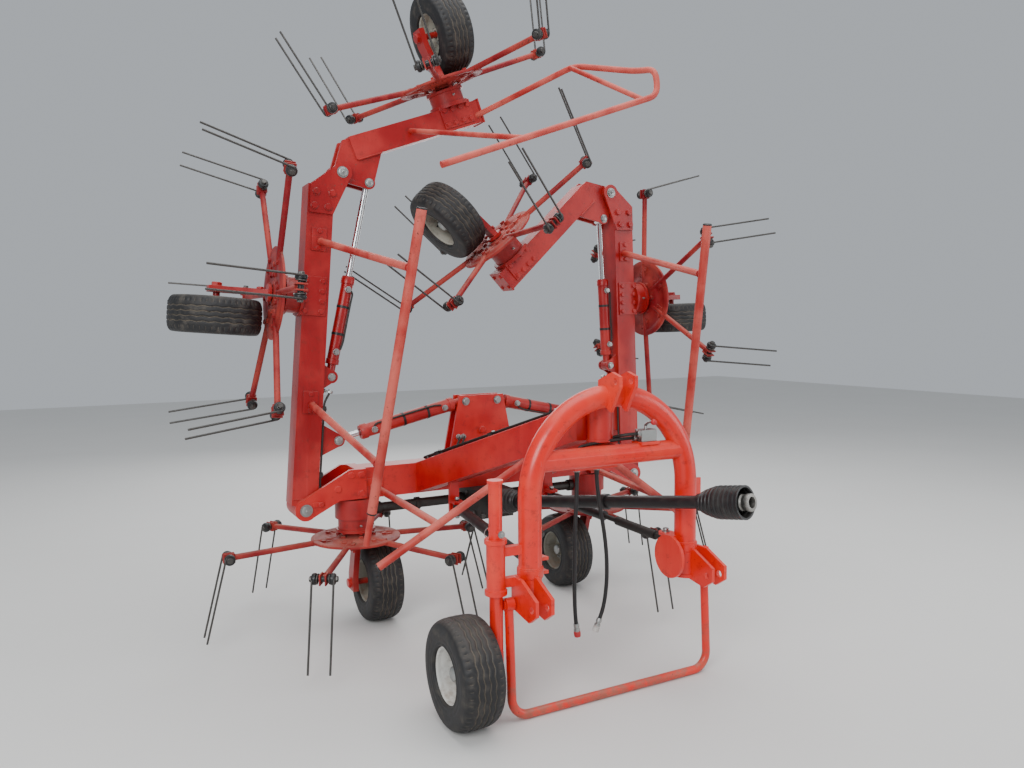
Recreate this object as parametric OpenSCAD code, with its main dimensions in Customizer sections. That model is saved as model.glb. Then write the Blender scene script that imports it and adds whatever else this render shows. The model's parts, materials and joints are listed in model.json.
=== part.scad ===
// Mounted hay tedder with six rotors, folded for transport and parked on its stand.
// Front (the tractor's side) faces -Y, the near wing is on -X and the far wing on +X.

/* [Layout] */
// Headstock plane, measured along Y from the middle of the machine
head_y = -745; // [-760:1:-730]
// Rotor and beam axis behind the headstock plane
axis_back = 1200; // [1190:1:1230]
// Half distance between the two centre rotors
rotor_x = 670; // [660:1:680]
// Distance between neighbouring rotors of a wing
pitch = 1250; // [1240:1:1262]
// Half distance between the inner fold hinges
hinge_x = 930; // [922:1:945]
// Height of the inner fold hinges, and of the wing beams at work
hinge_z = 620; // [615:1:630]

/* [Folded position] */
// Angle of the near inner wing above the ground
fold_near = 94.5; // [90:0.5:96]
// Angle of the far inner wing above the ground
fold_far = 92; // [88:0.5:93]
// Angle of the near outer wing against its inner wing
tip_near = 65; // [60:1:68]
// Angle of the far outer wing against its inner wing
tip_far = 132; // [128:1:133]

/* [Wheels] */
// Tyre diameter
tyre_d = 404; // [390:1:408]
// Tyre width
tyre_w = 165; // [150:1:170]
// Tyre shoulder radius
tyre_round = 38; // [25:1:45]
// Rim diameter
rim_d = 210; // [200:1:240]
// Wheel axle diameter
axle_d = 30; // [25:1:35]
// Distance from a rotor's axis to the middle of its wheel
wheel_side = 120; // [116:1:130]
// How far a wheel sits behind its rotor's axis
wheel_back = 55; // [40:1:65]

/* [Rotors] */
// Arms of a rotor
arms = 6; // [6:1:6]
// Dish diameter
dish_d = 430; // [380:2:460]
// Height of the dish below its beam's axis
dish_drop = 165; // [160:1:170]
// Distance from a rotor's axis to its tine holders
arm_r = 595; // [575:1:600]
// Arm tube diameter
arm_d = 28; // [24:1:34]
// Drop of an arm from the dish to its holder
arm_drop = 22; // [10:1:30]
// Distance from a rotor's axis to the tine tips
tip_r = 705; // [690:1:712]
// Height of the tine tips above the ground at work
tip_z = 58; // [40:1:90]
// Tine wire diameter
tine_d = 9.5; // [8:0.5:11]
// Half distance between the two tines of a pair
tine_half = 36; // [28:1:45]
// Outer radius of a tine's spring coils
coil_r = 24; // [20:1:25]
// Spindle diameter
spindle_d = 60; // [50:1:64]

/* [Beams] */
// Inner wing beam width and height
inner_b = 120; // [110:1:124]
// Outer wing beam width and height
outer_b = 110; // [96:1:112]
// Length from the inner hinge to the outer hinge
inner_len = 1570; // [1560:1:1580]
// Height of the outer hinge above the beam's axis
knuckle_h = 90; // [86:1:100]
// Length of an outer beam past its rotor
outer_over = 130; // [110:1:170]
// Half length of the cross beam
cross_half = 690; // [685:1:700]
// Cross beam height
cross_h = 150; // [130:1:160]
// Cross beam width
cross_b = 120; // [110:1:140]
// Height of the cross beam's underside
cross_z = 640; // [635:1:650]
// Inner hinge pin diameter
hinge_pin_d = 40; // [36:1:46]
// Outer hinge pin diameter
knuckle_pin_d = 36; // [30:1:40]

/* [Guards] */
// Distance of an inner guard rail in front of the beam at its inner end
rail_in = 660; // [650:1:668]
// The same distance at its outer end
rail_out = 920; // [910:1:930]
// Height of the guard rails above the beam's axis
rail_z = 120; // [115:1:126]

/* [Headstock] */
// Arch tube diameter
arch_d = 89; // [80:1:95]
// Half distance between the arch legs
arch_half = 370; // [360:1:380]
// Height where the legs turn into the arch
arch_turn_z = 820; // [800:1:840]
// Height of the lower end of the legs
leg_z = 420; // [410:1:430]
// Cross tube height
tie_z = 955; // [945:1:965]
// Cross tube diameter
tie_d = 80; // [70:1:84]
// Pivot distance behind the headstock plane
pivot_back = 80; // [76:1:90]
// Pivot pin diameter
pivot_d = 60; // [50:1:64]
// Lower link hole diameter
link_hole_d = 28.5; // [28:0.1:29]
// Half distance between the lower link clevises
link_half = 405; // [400:1:412]
// Top link hole diameter
top_hole_d = 25.7; // [25.5:0.1:26]
// Stand tube diameter
stand_d = 34; // [30:1:36]
// Half distance between the stand legs
stand_half = 466; // [464:1:467]
// Height of the stand's hinge bolts
stand_z = 440; // [430:1:450]
// Forward lean of the stand
stand_lean = 3; // [1:0.5:6]

/* [Drive] */
// Driveline guard tube diameter
guard_tube_d = 56; // [50:1:64]
// Driveline bore diameter
yoke_bore_d = 35; // [34.9:0.1:35.2]

/* [Fold cylinders] */
// Inner fold cylinder barrel diameter
barrel_d = 66; // [60:1:68]
// Outer fold cylinder barrel diameter
barrel2_d = 56; // [50:1:58]
// Rod diameter
rod_d = 30; // [25:1:32]
// Width of a cylinder eye
eye_w = 44; // [40:1:48]
// Radius of a cylinder eye
eye_r = 28; // [26:1:30]
// Side gap of an eye between its lugs
eye_gap = 5; // [5:0.5:7]

/* [Hidden] */
$fn = 48;
NEAR = -1;
FAR = 1;
fit = 0.05;
axis_y = head_y + axis_back;
pivot_y = head_y + pivot_back;
tyre_r = tyre_d / 2;
lug_in = eye_w / 2 + eye_gap;
lug_t = 12;
wheel_drop = hinge_z - tyre_r;
inner_rotor = rotor_x + pitch - hinge_x;
outer_rotor = rotor_x + 2 * pitch - hinge_x - inner_len;
outer_len = outer_rotor + outer_over;
ear_t = 20;
ear_in = inner_b / 2 + 12;
knuckle_r = 50;
ear2_t = 15;
ear2_in = inner_b / 2;
// Fold cylinder places: centre bracket, lug on the inner wing, anchor and lug of the outer cylinder
fold_post = [90, 1080];
fold_lug = [320, 150];
tip_anchor = [620, 100];
tip_lug = [115, 80];
// Support wheel place
front_x = -630;
front_y = head_y + 36;
sleeve_x = -514;
sleeve_z = 484;
pivot_low = 1000;
pivot_h = 145;
// Heights of the front guards' ends
low_guard_z = 500;
high_guard_z = 950;
// Driveline ends, and damper ends from the headstock plate to the frame bracket
line_back = [0, axis_y - 230, 590];
line_front = [330, head_y - 420, 810];
damper_front = [330, head_y + 75, 560];
damper_back = [262, axis_y - 300, 600];

function fold_of(side) = side < 0 ? fold_near : fold_far;
function tip_of(side) = side < 0 ? tip_near : tip_far;
// Place in the X and Z plane of a point s along and w above an inner beam
function inner_xz(side, s, w) =
    let (a = fold_of(side))
    [side * (hinge_x + s * cos(a) - w * sin(a)), hinge_z + s * sin(a) + w * cos(a)];
// The same for a point along and above the outer hinge, given on the inner beam
function outer_sw(side, t, v) =
    let (b = tip_of(side))
    [inner_len + t * cos(b) - v * sin(b), knuckle_h + t * sin(b) + v * cos(b)];

// Middle line of the two hoses, from the shelf down to their couplers
hose_a = [[-118, -676, 899], [-118, -676, 860], [-120, -677, 810], [-123, -678, 750], [-127, -679, 690],
    [-130, -680, 630], [-132, -681, 570], [-133, -681, 510], [-133, -680, 450], [-132, -679, 400],
    [-130, -678, 350], [-127, -677, 310], [-123, -676, 280]];
hose_b = [[-24, -676, 899], [-24, -676, 860], [-20, -677, 810], [-12, -678, 750], [-1, -679, 690],
    [9, -680, 630], [17, -680, 570], [22, -679, 510], [23, -678, 450], [20, -677, 400], [13, -676, 350],
    [3, -675, 310], [-9, -674, 280]];
hose_r = 8;

// Straight round bar from a to b
module bar(a, b, r) {
    v = b - a;
    l = norm(v);
    translate(a) rotate([0, acos(v.z / l), atan2(v.y, v.x)]) cylinder(h = l, r = r);
}

function unit(v) = v / norm(v);

// Round bar of radius r along a list of points, its pieces running a little past each corner
module tube_path(pts, r) {
    for (i = [0 : len(pts) - 2]) let (u = unit(pts[i + 1] - pts[i]), q = r - (i % 2))
        bar(pts[i] - u * (i == 0 ? 0 : q * 0.6), pts[i + 1] + u * (i == len(pts) - 2 ? 0 : q * 0.6), q);
}

// Plate drawn in X and Z, from y0 and t thick
module plate_xz(pts, y0, t) {
    translate([0, y0 + t, 0]) rotate([90, 0, 0]) linear_extrude(t) polygon(pts);
}

// Plate drawn in Y and Z, from x0 and t thick
module plate_yz(pts, x0, t) {
    translate([x0, 0, 0]) rotate([90, 0, 90]) linear_extrude(t) polygon(pts);
}

// Round piece along Y, centred
module cross_pin(r, w) {
    rotate([90, 0, 0]) cylinder(h = w, r = r, center = true);
}

// Two like plates on both sides of the beam's middle plane
module both_y(y_in, t) {
    for (s = [0, 1]) mirror([0, s, 0]) translate([0, y_in, 0]) rotate([90, 0, 0]) mirror([0, 0, 1])
        linear_extrude(t) children();
}

// Moves a wing piece from its own frame (x along the beam, z up at work) to its folded place
module on_side(side) {
    if (side < 0) mirror([1, 0, 0]) children();
    else children();
}
module on_inner(side) {
    on_side(side) translate([hinge_x, axis_y, hinge_z]) rotate([0, -fold_of(side), 0]) children();
}
module on_outer(side) {
    on_inner(side) translate([inner_len, 0, knuckle_h]) rotate([0, -tip_of(side), 0]) children();
}
// Level of the outer beam's axis, at its rotor
module at_inner_rotor(side) {
    on_inner(side) translate([inner_rotor, 0, 0]) children();
}
module at_outer_rotor(side) {
    on_outer(side) translate([outer_rotor, 0, -knuckle_h]) children();
}
module at_centre_rotor(side) {
    on_side(side) translate([rotor_x, axis_y, hinge_z]) children();
}

// Gearbox under a beam, its fixed spindle, and the leg and axle of its wheel
module gearbox(top, out) {
    leg_t = 28;
    leg_top = -dish_drop - 43;
    translate([0, 0, -74]) cylinder(h = top + 74, r = 98);
    translate([0, 0, -138]) cylinder(h = 66, r = 84);
    translate([0, 0, -140]) cylinder(h = 12, r = 94);
    for (i = [0 : 5]) rotate([0, 0, 30 + 60 * i]) translate([82, 0, -148]) cylinder(h = 10, r = 9, $fn = 6);
    translate([0, 0, leg_top]) cylinder(h = -leg_top - 130, d = spindle_d);
    translate([0, 0, leg_top]) cylinder(h = 15, r = 42);
    plate_yz([[-32, leg_top + 2], [32, leg_top + 2], [wheel_back + 38, -wheel_drop + 40],
        [wheel_back + 38, -wheel_drop - 38], [wheel_back - 38, -wheel_drop - 38],
        [wheel_back - 38, -wheel_drop + 40]], -leg_t / 2, leg_t);
    rotate([0, out * 90, 0]) translate([out * wheel_drop, wheel_back, 0])
        cylinder(h = wheel_side + 45, d = axle_d);
}

// Dish, hub, arms, tine holders and tines of one rotor
module rotor(phase) {
    hub_r = spindle_d / 2 + fit;
    z0 = -dish_drop;
    dish_r = dish_d / 2;
    holder_z = z0 - 11 - arm_drop;
    tip_drop = tip_z - hinge_z;
    rotate_extrude($fn = 96) polygon([[hub_r, z0 - 22], [56, z0 - 22], [56, z0 - 13], [118, z0 - 14],
        [130, z0 - 22], [dish_r - 38, z0 - 23], [dish_r - 26, z0 - 17], [dish_r, z0 - 18], [dish_r, z0 - 5],
        [dish_r - 28, z0 - 4], [dish_r - 40, z0 - 12], [132, z0 - 11], [120, z0 - 2], [56, z0 + 4],
        [56, z0 + 17], [hub_r, z0 + 17]]);
    for (i = [0 : arms - 1]) rotate([0, 0, phase + i * 360 / arms]) {
        bar([90, 0, z0 - 11], [arm_r, 0, holder_z], arm_d / 2);
        translate([arm_r - 24, -14, holder_z - 22]) cube([46, 28, 44]);
        translate([arm_r, 0, holder_z]) cross_pin(coil_r - 10, 2 * tine_half + 28);
        for (s = [-1, 1]) {
            translate([arm_r, s * tine_half * 0.92, holder_z]) cross_pin(coil_r, 30);
            bar([arm_r + coil_r - 8, s * tine_half, holder_z - 2], [tip_r, s * (tine_half + 10), tip_drop], tine_d / 2);
        }
    }
}

// Tyre, its axis along X
module tyre() {
    r0 = rim_d / 2;
    half = tyre_w / 2;
    rotate([0, 90, 0]) rotate_extrude($fn = 96) union() {
        translate([r0, -half]) square([tyre_r - tyre_round - r0, tyre_w]);
        translate([r0, -half + tyre_round]) square([tyre_r - r0, tyre_w - 2 * tyre_round]);
        for (s = [-1, 1]) translate([tyre_r - tyre_round, s * (half - tyre_round)]) circle(r = tyre_round);
    }
}

// Rim with its disc and hub, its axis along X
module rim() {
    r1 = rim_d / 2 - 0.2;
    bore = axle_d / 2 + fit;
    half = tyre_w / 2 - 14;
    dish = r1 - 26;
    rotate([0, 90, 0]) rotate_extrude($fn = 96) polygon([[bore, -34], [32, -34], [32, -6], [62, -6],
        [dish, -24], [r1 - 7, -24], [r1 - 7, 5 - half], [r1 - 16, 4 - half], [r1 - 16, -half], [r1, -half],
        [r1, half], [r1 - 16, half], [r1 - 16, half - 4], [r1 - 7, half - 5], [r1 - 7, -15], [dish + 4, -15],
        [64, 4], [32, 4], [32, 34], [bore, 34]]);
    for (i = [0 : 4]) rotate([i * 72, 0, 0]) translate([-16, 0, 48]) rotate([0, 90, 0]) cylinder(h = 30, r = 9, $fn = 6);
}

// A wheel piece under a rotor, out being 1 or -1 along the beam
module rotor_wheel(out) {
    translate([out * wheel_side, wheel_back, -wheel_drop]) children();
}

// One of the two beams from the pivot to the cross beam
module spread_beam() {
    hull() {
        translate([6, pivot_y + 34, pivot_low + 4]) cube([84, 10, pivot_h - 4]);
        translate([290, axis_y - cross_b / 2 - 2, cross_z + 4]) cube([84, 10, cross_h - 4]);
    }
}

module centre_frame() {
    mid_z = cross_z + cross_h / 2;
    ears = [[cross_half - 50, cross_z + 8], [cross_half - 50, cross_z + cross_h], [cross_half + 30, cross_z + cross_h],
        [hinge_x + 20, hinge_z + 45], [hinge_x - 10, hinge_z - 49], [rotor_x + 100, cross_z + 8]];
    color("crimson") difference() {
        union() {
            translate([-cross_half, axis_y - cross_b / 2, cross_z]) cube([2 * cross_half, cross_b, cross_h]);
            for (s = [0, 1]) mirror([s, 0, 0]) {
                translate([cross_half - 50, axis_y - ear_in - ear_t, cross_z + 8])
                    cube([50, 2 * ear_in + 2 * ear_t, cross_h - 8]);
                translate([0, axis_y, 0]) both_y(ear_in, ear_t) union() {
                    polygon(ears);
                    translate([hinge_x, hinge_z]) circle(r = knuckle_r);
                }
                spread_beam();
                // Bracket of the swivel damper
                translate(damper_back + [-24, -22, -34]) cube([48, 72, 68]);
                translate(damper_back + [-24, 30, 0]) cube([48, 20, 160]);
            }
            translate([0, pivot_y, pivot_low]) cylinder(h = pivot_h, r = 52);
            // Bracket of the inner fold cylinders
            translate([0, axis_y, 0]) both_y(lug_in, lug_t)
                polygon([[-190, cross_z + cross_h - 5], [190, cross_z + cross_h - 5], [125, fold_post.y + 30],
                    [-125, fold_post.y + 30]]);
        }
        translate([0, pivot_y, pivot_low - 100]) cylinder(h = pivot_h + 155, d = pivot_d + 2 * fit);
        for (s = [-1, 1]) {
            translate([s * hinge_x, axis_y, hinge_z]) cross_pin(hinge_pin_d / 2 + fit, 300);
            translate([s * fold_post.x, axis_y, fold_post.y]) cross_pin(14 + fit, 100);
            translate([s * damper_back.x, damper_back.y, damper_back.z]) {
                translate([-30, -40, -19]) cube([60, 72, 38]);
                translate([0, 0, -50]) cylinder(h = 100, r = 8 + fit);
            }
        }
    }
}

module centre_gearboxes() {
    color("firebrick") for (s = [NEAR, FAR]) at_centre_rotor(s) gearbox(cross_z - hinge_z, -1);
}

module main_gearbox() {
    color("dimgray") difference() {
        union() {
            translate([-95, axis_y - 200, 500]) cube([190, 200 + cross_b / 2, cross_z - 500]);
            for (s = [-1, 1]) bar([s * 90, axis_y, 575], [s * (rotor_x - 60), axis_y, 575], 24);
            translate([0, axis_y - 195, line_back.z]) rotate([90, 0, 0]) cylinder(h = 50, r = 34);
        }
        for (s = [NEAR, FAR]) at_centre_rotor(s) translate([0, 0, -74]) cylinder(h = 100, r = 98);
    }
}

module centre_guards() {
    color("indianred") difference() {
        for (s = [0, 1]) mirror([s, 0, 0]) union() {
            bar([cross_half + 110, head_y + 480, low_guard_z], [110, head_y + 330, high_guard_z], 17);
            bar([cross_half - 90, axis_y - cross_b / 2 + 20, 700], [cross_half - 130, head_y + 428, 657], 16);
        }
        translate([-cross_half, axis_y - cross_b / 2, cross_z]) cube([2 * cross_half, cross_b, cross_h]);
        for (s = [0, 1]) mirror([s, 0, 0]) spread_beam();
    }
}

module driveline() {
    v = line_front - line_back;
    u = v / norm(v);
    color("black") difference() {
        union() {
            bar(line_back, line_back + u * 100, 60);
            bar(line_back + u * 90, line_front - u * 170, guard_tube_d / 2);
            bar(line_front - u * 200, line_front - u * 90, 66);
        }
        translate([0, axis_y - 195, line_back.z]) rotate([90, 0, 0]) cylinder(h = 50, r = 34);
        bar(line_front - u * 150, line_front + u * 20, yoke_bore_d / 2 + 4);
    }
}

module driveline_yoke() {
    v = line_front - line_back;
    u = v / norm(v);
    color("gray") difference() {
        bar(line_front - u * 89.7, line_front, 34);
        bar(line_front - u * 150, line_front + u * 20, yoke_bore_d / 2);
    }
}

module headstock() {
    arch_top = arch_turn_z + arch_half;
    ear_z = arch_top + 60;
    color("tomato") difference() {
        union() {
            translate([0, head_y, arch_turn_z]) rotate([90, 0, 0]) rotate_extrude(angle = 180, $fn = 96)
                translate([arch_half, 0]) circle(d = arch_d);
            for (s = [-1, 1]) {
                bar([s * arch_half, head_y, leg_z], [s * arch_half, head_y, arch_turn_z], arch_d / 2);
                translate([s * arch_half, head_y, leg_z + 112]) cylinder(h = 30, r = arch_d / 2 + 6);
                translate([s * arch_half, head_y, leg_z]) cylinder(h = 12, r = arch_d / 2 + 5);
                // Clevis of the lower link
                for (p = [-39, 25]) plate_yz([[head_y + 12, leg_z], [head_y + 12, leg_z + 120],
                    [head_y - 60, leg_z + 120], [head_y - 170, leg_z + 70], [head_y - 170, leg_z + 15],
                    [head_y - 120, leg_z - 20]], s * link_half + p, 14);
                translate([s * link_half - 39, head_y - 20, leg_z + 50]) cube([78, 32, 60]);
                // Hinge bolt of the stand
                translate([s * (link_half + 30), head_y - 8, stand_z]) rotate([0, s * 90, 0])
                    cylinder(h = stand_half - link_half - 30 + 21, r = 12);
                translate([s * (stand_half + 18), head_y - 8, stand_z]) rotate([0, s * 90, 0])
                    cylinder(h = 4, r = 18, $fn = 6);
                // Ears of the swivel damper
                for (p = [-32, 20]) translate([s * 330, head_y, damper_front.z + p])
                    linear_extrude(12) union() {
                        polygon([[-30, 75], [30, 75], [40, 0], [-40, 0]]);
                        translate([0, damper_front.y - head_y]) circle(r = 30);
                    }
            }
            bar([-arch_half + 40, head_y, tie_z], [arch_half - 40, head_y, tie_z], tie_d / 2);
            // Pivot plates and pin
            translate([-60, head_y, pivot_low + pivot_h + 6]) cube([120, pivot_back, 20]);
            translate([0, pivot_y, pivot_low + pivot_h + 6]) cylinder(h = 20, r = 60);
            translate([-60, head_y, pivot_low - 35]) cube([120, pivot_back, 25]);
            translate([0, pivot_y, pivot_low - 35]) cylinder(h = 25, r = 60);
            translate([0, pivot_y, pivot_low - 20]) cylinder(h = pivot_h + 40, d = pivot_d);
            // Top link ears
            for (p = [-44, 28]) plate_yz([[head_y + 30, arch_top], [head_y - 50, arch_top - 60],
                [head_y - 110, ear_z - 20], [head_y - 110, ear_z + 20], [head_y - 60, ear_z + 35],
                [head_y + 30, ear_z]], p, 16);
            // Swivel plate and tab of the far leg
            translate([278, head_y - 4, damper_front.z - 48]) rotate([0, 90, 0]) cylinder(h = 14, r = 88);
            translate([arch_half + 20, head_y - 6, 735]) cube([58, 12, 90]);
            // Shelf of the hoses
            translate([-150, head_y + 32, tie_z - 56]) cube([200, 10, 52]);
            translate([-150, head_y + 32, tie_z - 56]) cube([200, 56, 12]);
            // Sleeve of the support wheel leg
            translate([sleeve_x, head_y, sleeve_z]) cylinder(h = 206, r = 35);
            for (q = [0, 190]) translate([sleeve_x, head_y, sleeve_z + q]) cylinder(h = 16, r = 42);
            for (q = [22, 138]) translate([sleeve_x, head_y - 14, sleeve_z + q]) cube([140, 28, 34]);
        }
        translate([sleeve_x, head_y, 300]) cylinder(h = 500, r = 25 + fit);
        for (s = [-1, 1]) translate([s * link_half - 60, head_y - 140, leg_z + 32]) rotate([0, 90, 0])
            cylinder(h = 120, d = link_hole_d);
        translate([-60, head_y - 85, ear_z]) rotate([0, 90, 0]) cylinder(h = 120, d = top_hole_d);
    }
}

module support_leg() {
    color("firebrick") union() {
        translate([sleeve_x, head_y, 240]) cylinder(h = 660, r = 25);
        translate([sleeve_x, head_y, 895]) cylinder(h = 12, r = 30);
        translate([sleeve_x, head_y, 716]) cross_pin(8, 96);
        translate([sleeve_x - 14, head_y - 30, tyre_r - 34]) cube([28, 96, 110]);
        translate([sleeve_x, front_y, tyre_r]) rotate([0, -90, 0]) cylinder(h = 165, d = axle_d);
    }
}

module parking_stand() {
    r = stand_d / 2;
    turn_r = 70;
    long = stand_z - r;
    color("firebrick") translate([0, head_y - 8, stand_z]) rotate([-stand_lean, 0, 0]) difference() {
        union() {
            for (s = [-1, 1]) {
                bar([s * stand_half, 0, -long + turn_r], [s * stand_half, 0, 0], r);
                translate([s * (stand_half - turn_r), 0, -long + turn_r]) rotate([90, 0, 0])
                    rotate([0, 0, s > 0 ? -90 : 180]) rotate_extrude(angle = 90) translate([turn_r, 0]) circle(r = r);
                translate([s * stand_half, 0, 0]) rotate([0, 90, 0]) cylinder(h = 2 * r, r = 25, center = true);
            }
            bar([-stand_half + turn_r, 0, -long], [stand_half - turn_r, 0, -long], r);
        }
        rotate([0, 90, 0]) cylinder(h = 2 * stand_half + 268, r = 12 + fit, center = true);
    }
}

// Hose: rings of ten points along its middle line, joined to one closed skin
function hose_way(p, i) = unit(p[min(i + 1, len(p) - 1)] - p[max(i - 1, 0)]);
function hose_ring(p, i) =
    let (t = hose_way(p, i), a = unit(cross(t, [0, 1, 0])), b = cross(t, a))
    [for (k = [0 : 9]) p[i] + hose_r * (a * cos(36 * k) + b * sin(36 * k))];
module hose(p) {
    n = len(p);
    rings = [for (i = [0 : n - 1]) each hose_ring(p, i)];
    walls = [for (i = [0 : n - 2]) for (k = [0 : 9]) let (a = 10 * i + k, b = 10 * i + (k + 1) % 10)
        each [[a, b, b + 10], [a, b + 10, a + 10]]];
    ends = [[for (k = [9 : -1 : 0]) k], [for (k = [0 : 9]) 10 * (n - 1) + k]];
    polyhedron(points = rings, faces = concat(walls, ends));
}
module coupler(p) {
    n = len(p) - 1;
    u = unit(p[n] - p[n - 1]);
    bar(p[n] + u * 0.3, p[n] + u * 30, 11);
    bar(p[n] + u * 20, p[n] + u * 58, 14);
}

// Swivel damper: the tube is held by the frame, the rod by the headstock
module damper_tube(side) {
    a = [side * damper_back.x, damper_back.y, damper_back.z];
    b = [side * damper_front.x, damper_front.y, damper_front.z];
    u = (b - a) / norm(b - a);
    color("dimgray") difference() {
        union() {
            translate(a) cylinder(h = 30, r = 20, center = true);
            translate(a) cylinder(h = 80, r = 8, center = true);
            bar(a, a + u * 50, 13);
            bar(a + u * 40, a + u * 420, 24);
        }
        bar(a + u * 60, a + u * 500, 12 + fit);
    }
}
module damper_rod(side) {
    a = [side * damper_back.x, damper_back.y, damper_back.z];
    b = [side * damper_front.x, damper_front.y, damper_front.z];
    u = (b - a) / norm(b - a);
    l = norm(b - a);
    color("black") union() {
        bar(a + u * 300, b - u * 20, 12);
        bar(a + u * 515, b - u * 60, 20);
        translate(b) cylinder(h = 22, r = 22, center = true);
    }
}

module inner_beam(side) {
    h = inner_b / 2;
    color("firebrick") on_inner(side) difference() {
        union() {
            translate([18, -h, -h]) cube([inner_len - 70 - 18, inner_b, inner_b]);
            cross_pin(knuckle_r, 2 * ear_in - 3);
            cross_pin(hinge_pin_d / 2, 2 * ear_in + 2 * ear_t + 16);
            // Lugs of the fold cylinders
            both_y(lug_in, lug_t) union() {
                polygon([[fold_lug.x - 80, h - 2], [fold_lug.x + 80, h - 2], [fold_lug.x + eye_r, fold_lug.y + 6],
                    [fold_lug.x - eye_r, fold_lug.y + 6]]);
                translate(fold_lug) circle(r = eye_r + 2);
                polygon([[tip_anchor.x - 60, h - 2], [tip_anchor.x + 60, h - 2], [tip_anchor.x + eye_r, tip_anchor.y + 4],
                    [tip_anchor.x - eye_r, tip_anchor.y + 4]]);
                translate(tip_anchor) circle(r = eye_r + 2);
            }
            // Ears of the outer hinge
            both_y(ear2_in, ear2_t) union() {
                polygon([[inner_len - 200, -h + 8], [inner_len - 72, -h + 8], [inner_len + 44, knuckle_h - 10],
                    [inner_len - 30, knuckle_h + 35], [inner_len - 200, h - 4]]);
                translate([inner_len, knuckle_h]) circle(r = 45);
            }
        }
        translate([inner_len, 0, knuckle_h]) cross_pin(knuckle_pin_d / 2 + fit, 200);
        translate([tip_anchor.x, 0, tip_anchor.y]) cross_pin(12 + fit, 100);
    }
}

module outer_beam(side) {
    h = outer_b / 2;
    z = -knuckle_h;
    color("firebrick") on_outer(side) union() {
        translate([95, -h, z - h]) cube([outer_len - 95, outer_b, outer_b]);
        translate([outer_len - 1, -h - 5, z - h - 5]) cube([9, outer_b + 10, outer_b + 10]);
        both_y(lug_in + 3, ear2_in - 3 - lug_in - 3) circle(r = 38);
        cross_pin(knuckle_pin_d / 2, 2 * ear2_in + 2 * ear2_t + 14);
        // Side plates from the beam to the hinge and up to the cylinder's lug
        both_y(lug_in + 3, 16) union() {
            polygon([[-25, -25], [62, z - h + 6], [190, z - h + 6], [230, z + h - 4], [tip_lug.x + 26, tip_lug.y + 6],
                [tip_lug.x - 22, tip_lug.y + 20], [-10, 36]]);
            translate(tip_lug) circle(r = eye_r + 2);
        }
    }
}

module inner_guard(side) {
    h = inner_b / 2;
    color("indianred") on_inner(side) difference() {
        union() {
            bar([100, -rail_in, rail_z], [inner_rotor + 310, -rail_out, rail_z + 40], 20);
            bar([-40, -rail_in + 30, rail_z - 5], [110, -rail_in - 2, rail_z], 14);
            bar([500, -h + 30, 0], [300, -rail_in - 43, rail_z + 7], 16);
            bar([inner_rotor + 260, -h + 30, 0], [inner_rotor + 90, -rail_out + 48, rail_z + 33], 16);
        }
        translate([0, -h, -h]) cube([inner_len, inner_b, inner_b]);
    }
}

module outer_guard(side) {
    h = outer_b / 2;
    z = -knuckle_h;
    front = tip_r + 145;
    color("indianred") on_outer(side) difference() {
        union() {
            tube_path([[outer_rotor - 550, -front, rail_z + 20], [outer_rotor + 570, -front, rail_z + 20],
                [outer_rotor + 610, -front + 15, 30], [outer_rotor + 605, -front + 150, 0],
                [outer_rotor + 450, -front + 370, z - 30], [outer_len - 40, -h + 30, z + 20]], 14);
            bar([outer_rotor + 430, -front + 380, z - 30], [outer_rotor + 490, -front + 5, rail_z + 20], 12);
            bar([400, -h + 30, z - 10], [outer_rotor - 150, -front + 5, rail_z + 20], 12);
        }
        translate([0, -h, z - h]) cube([outer_len, outer_b, outer_b]);
        translate([outer_len - 1, -h - 5, z - h - 5]) cube([9, outer_b + 10, outer_b + 10]);
    }
}

// Barrel of diameter d and length to, from its pin at a towards b, in the X and Z plane at the beams' axis
module barrel(a, b, d, pin_r, to) {
    u = unit(b - a);
    translate([0, axis_y, 0]) difference() {
        union() {
            translate([a.x, 0, a.y]) cross_pin(eye_r, eye_w);
            translate([a.x, 0, a.y]) cross_pin(pin_r, eye_w + 2 * eye_gap + 2 * lug_t + 12);
            bar([a.x, 0, a.y], [a.x + u.x * 70, 0, a.y + u.y * 70], 20);
            bar([a.x + u.x * 60, 0, a.y + u.y * 60], [a.x + u.x * to, 0, a.y + u.y * to], d / 2);
        }
        bar([a.x + u.x * 90, 0, a.y + u.y * 90], [a.x + u.x * (to + 50), 0, a.y + u.y * (to + 50)],
            rod_d / 2 + fit);
    }
}
// Rod that slides in the barrel, its eye at b
module rod(a, b, from) {
    u = (b - a) / norm(b - a);
    translate([0, axis_y, 0]) union() {
        bar([a.x + u.x * from, 0, a.y + u.y * from], [b.x - u.x * 15, 0, b.y - u.y * 15], rod_d / 2);
        translate([b.x, 0, b.y]) cross_pin(eye_r - 3, eye_w);
    }
}

function post_at(side) = [side * fold_post.x, fold_post.y];
function fold_lug_at(side) = inner_xz(side, fold_lug.x, fold_lug.y);
function tip_anchor_at(side) = inner_xz(side, tip_anchor.x, tip_anchor.y);
function tip_lug_at(side) = let (p = outer_sw(side, tip_lug.x, tip_lug.y)) inner_xz(side, p.x, p.y);

module fold_barrel(side) {
    color("firebrick") barrel(post_at(side), fold_lug_at(side), barrel_d, 14, 560);
}
module fold_rod(side) {
    color("silver") rod(post_at(side), fold_lug_at(side), 120);
}
module tip_barrel(side) {
    color("firebrick") barrel(tip_anchor_at(side), tip_lug_at(side), barrel2_d, 12, 480);
}
module tip_rod(side) {
    color("silver") rod(tip_anchor_at(side), tip_lug_at(side), 120);
}

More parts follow.
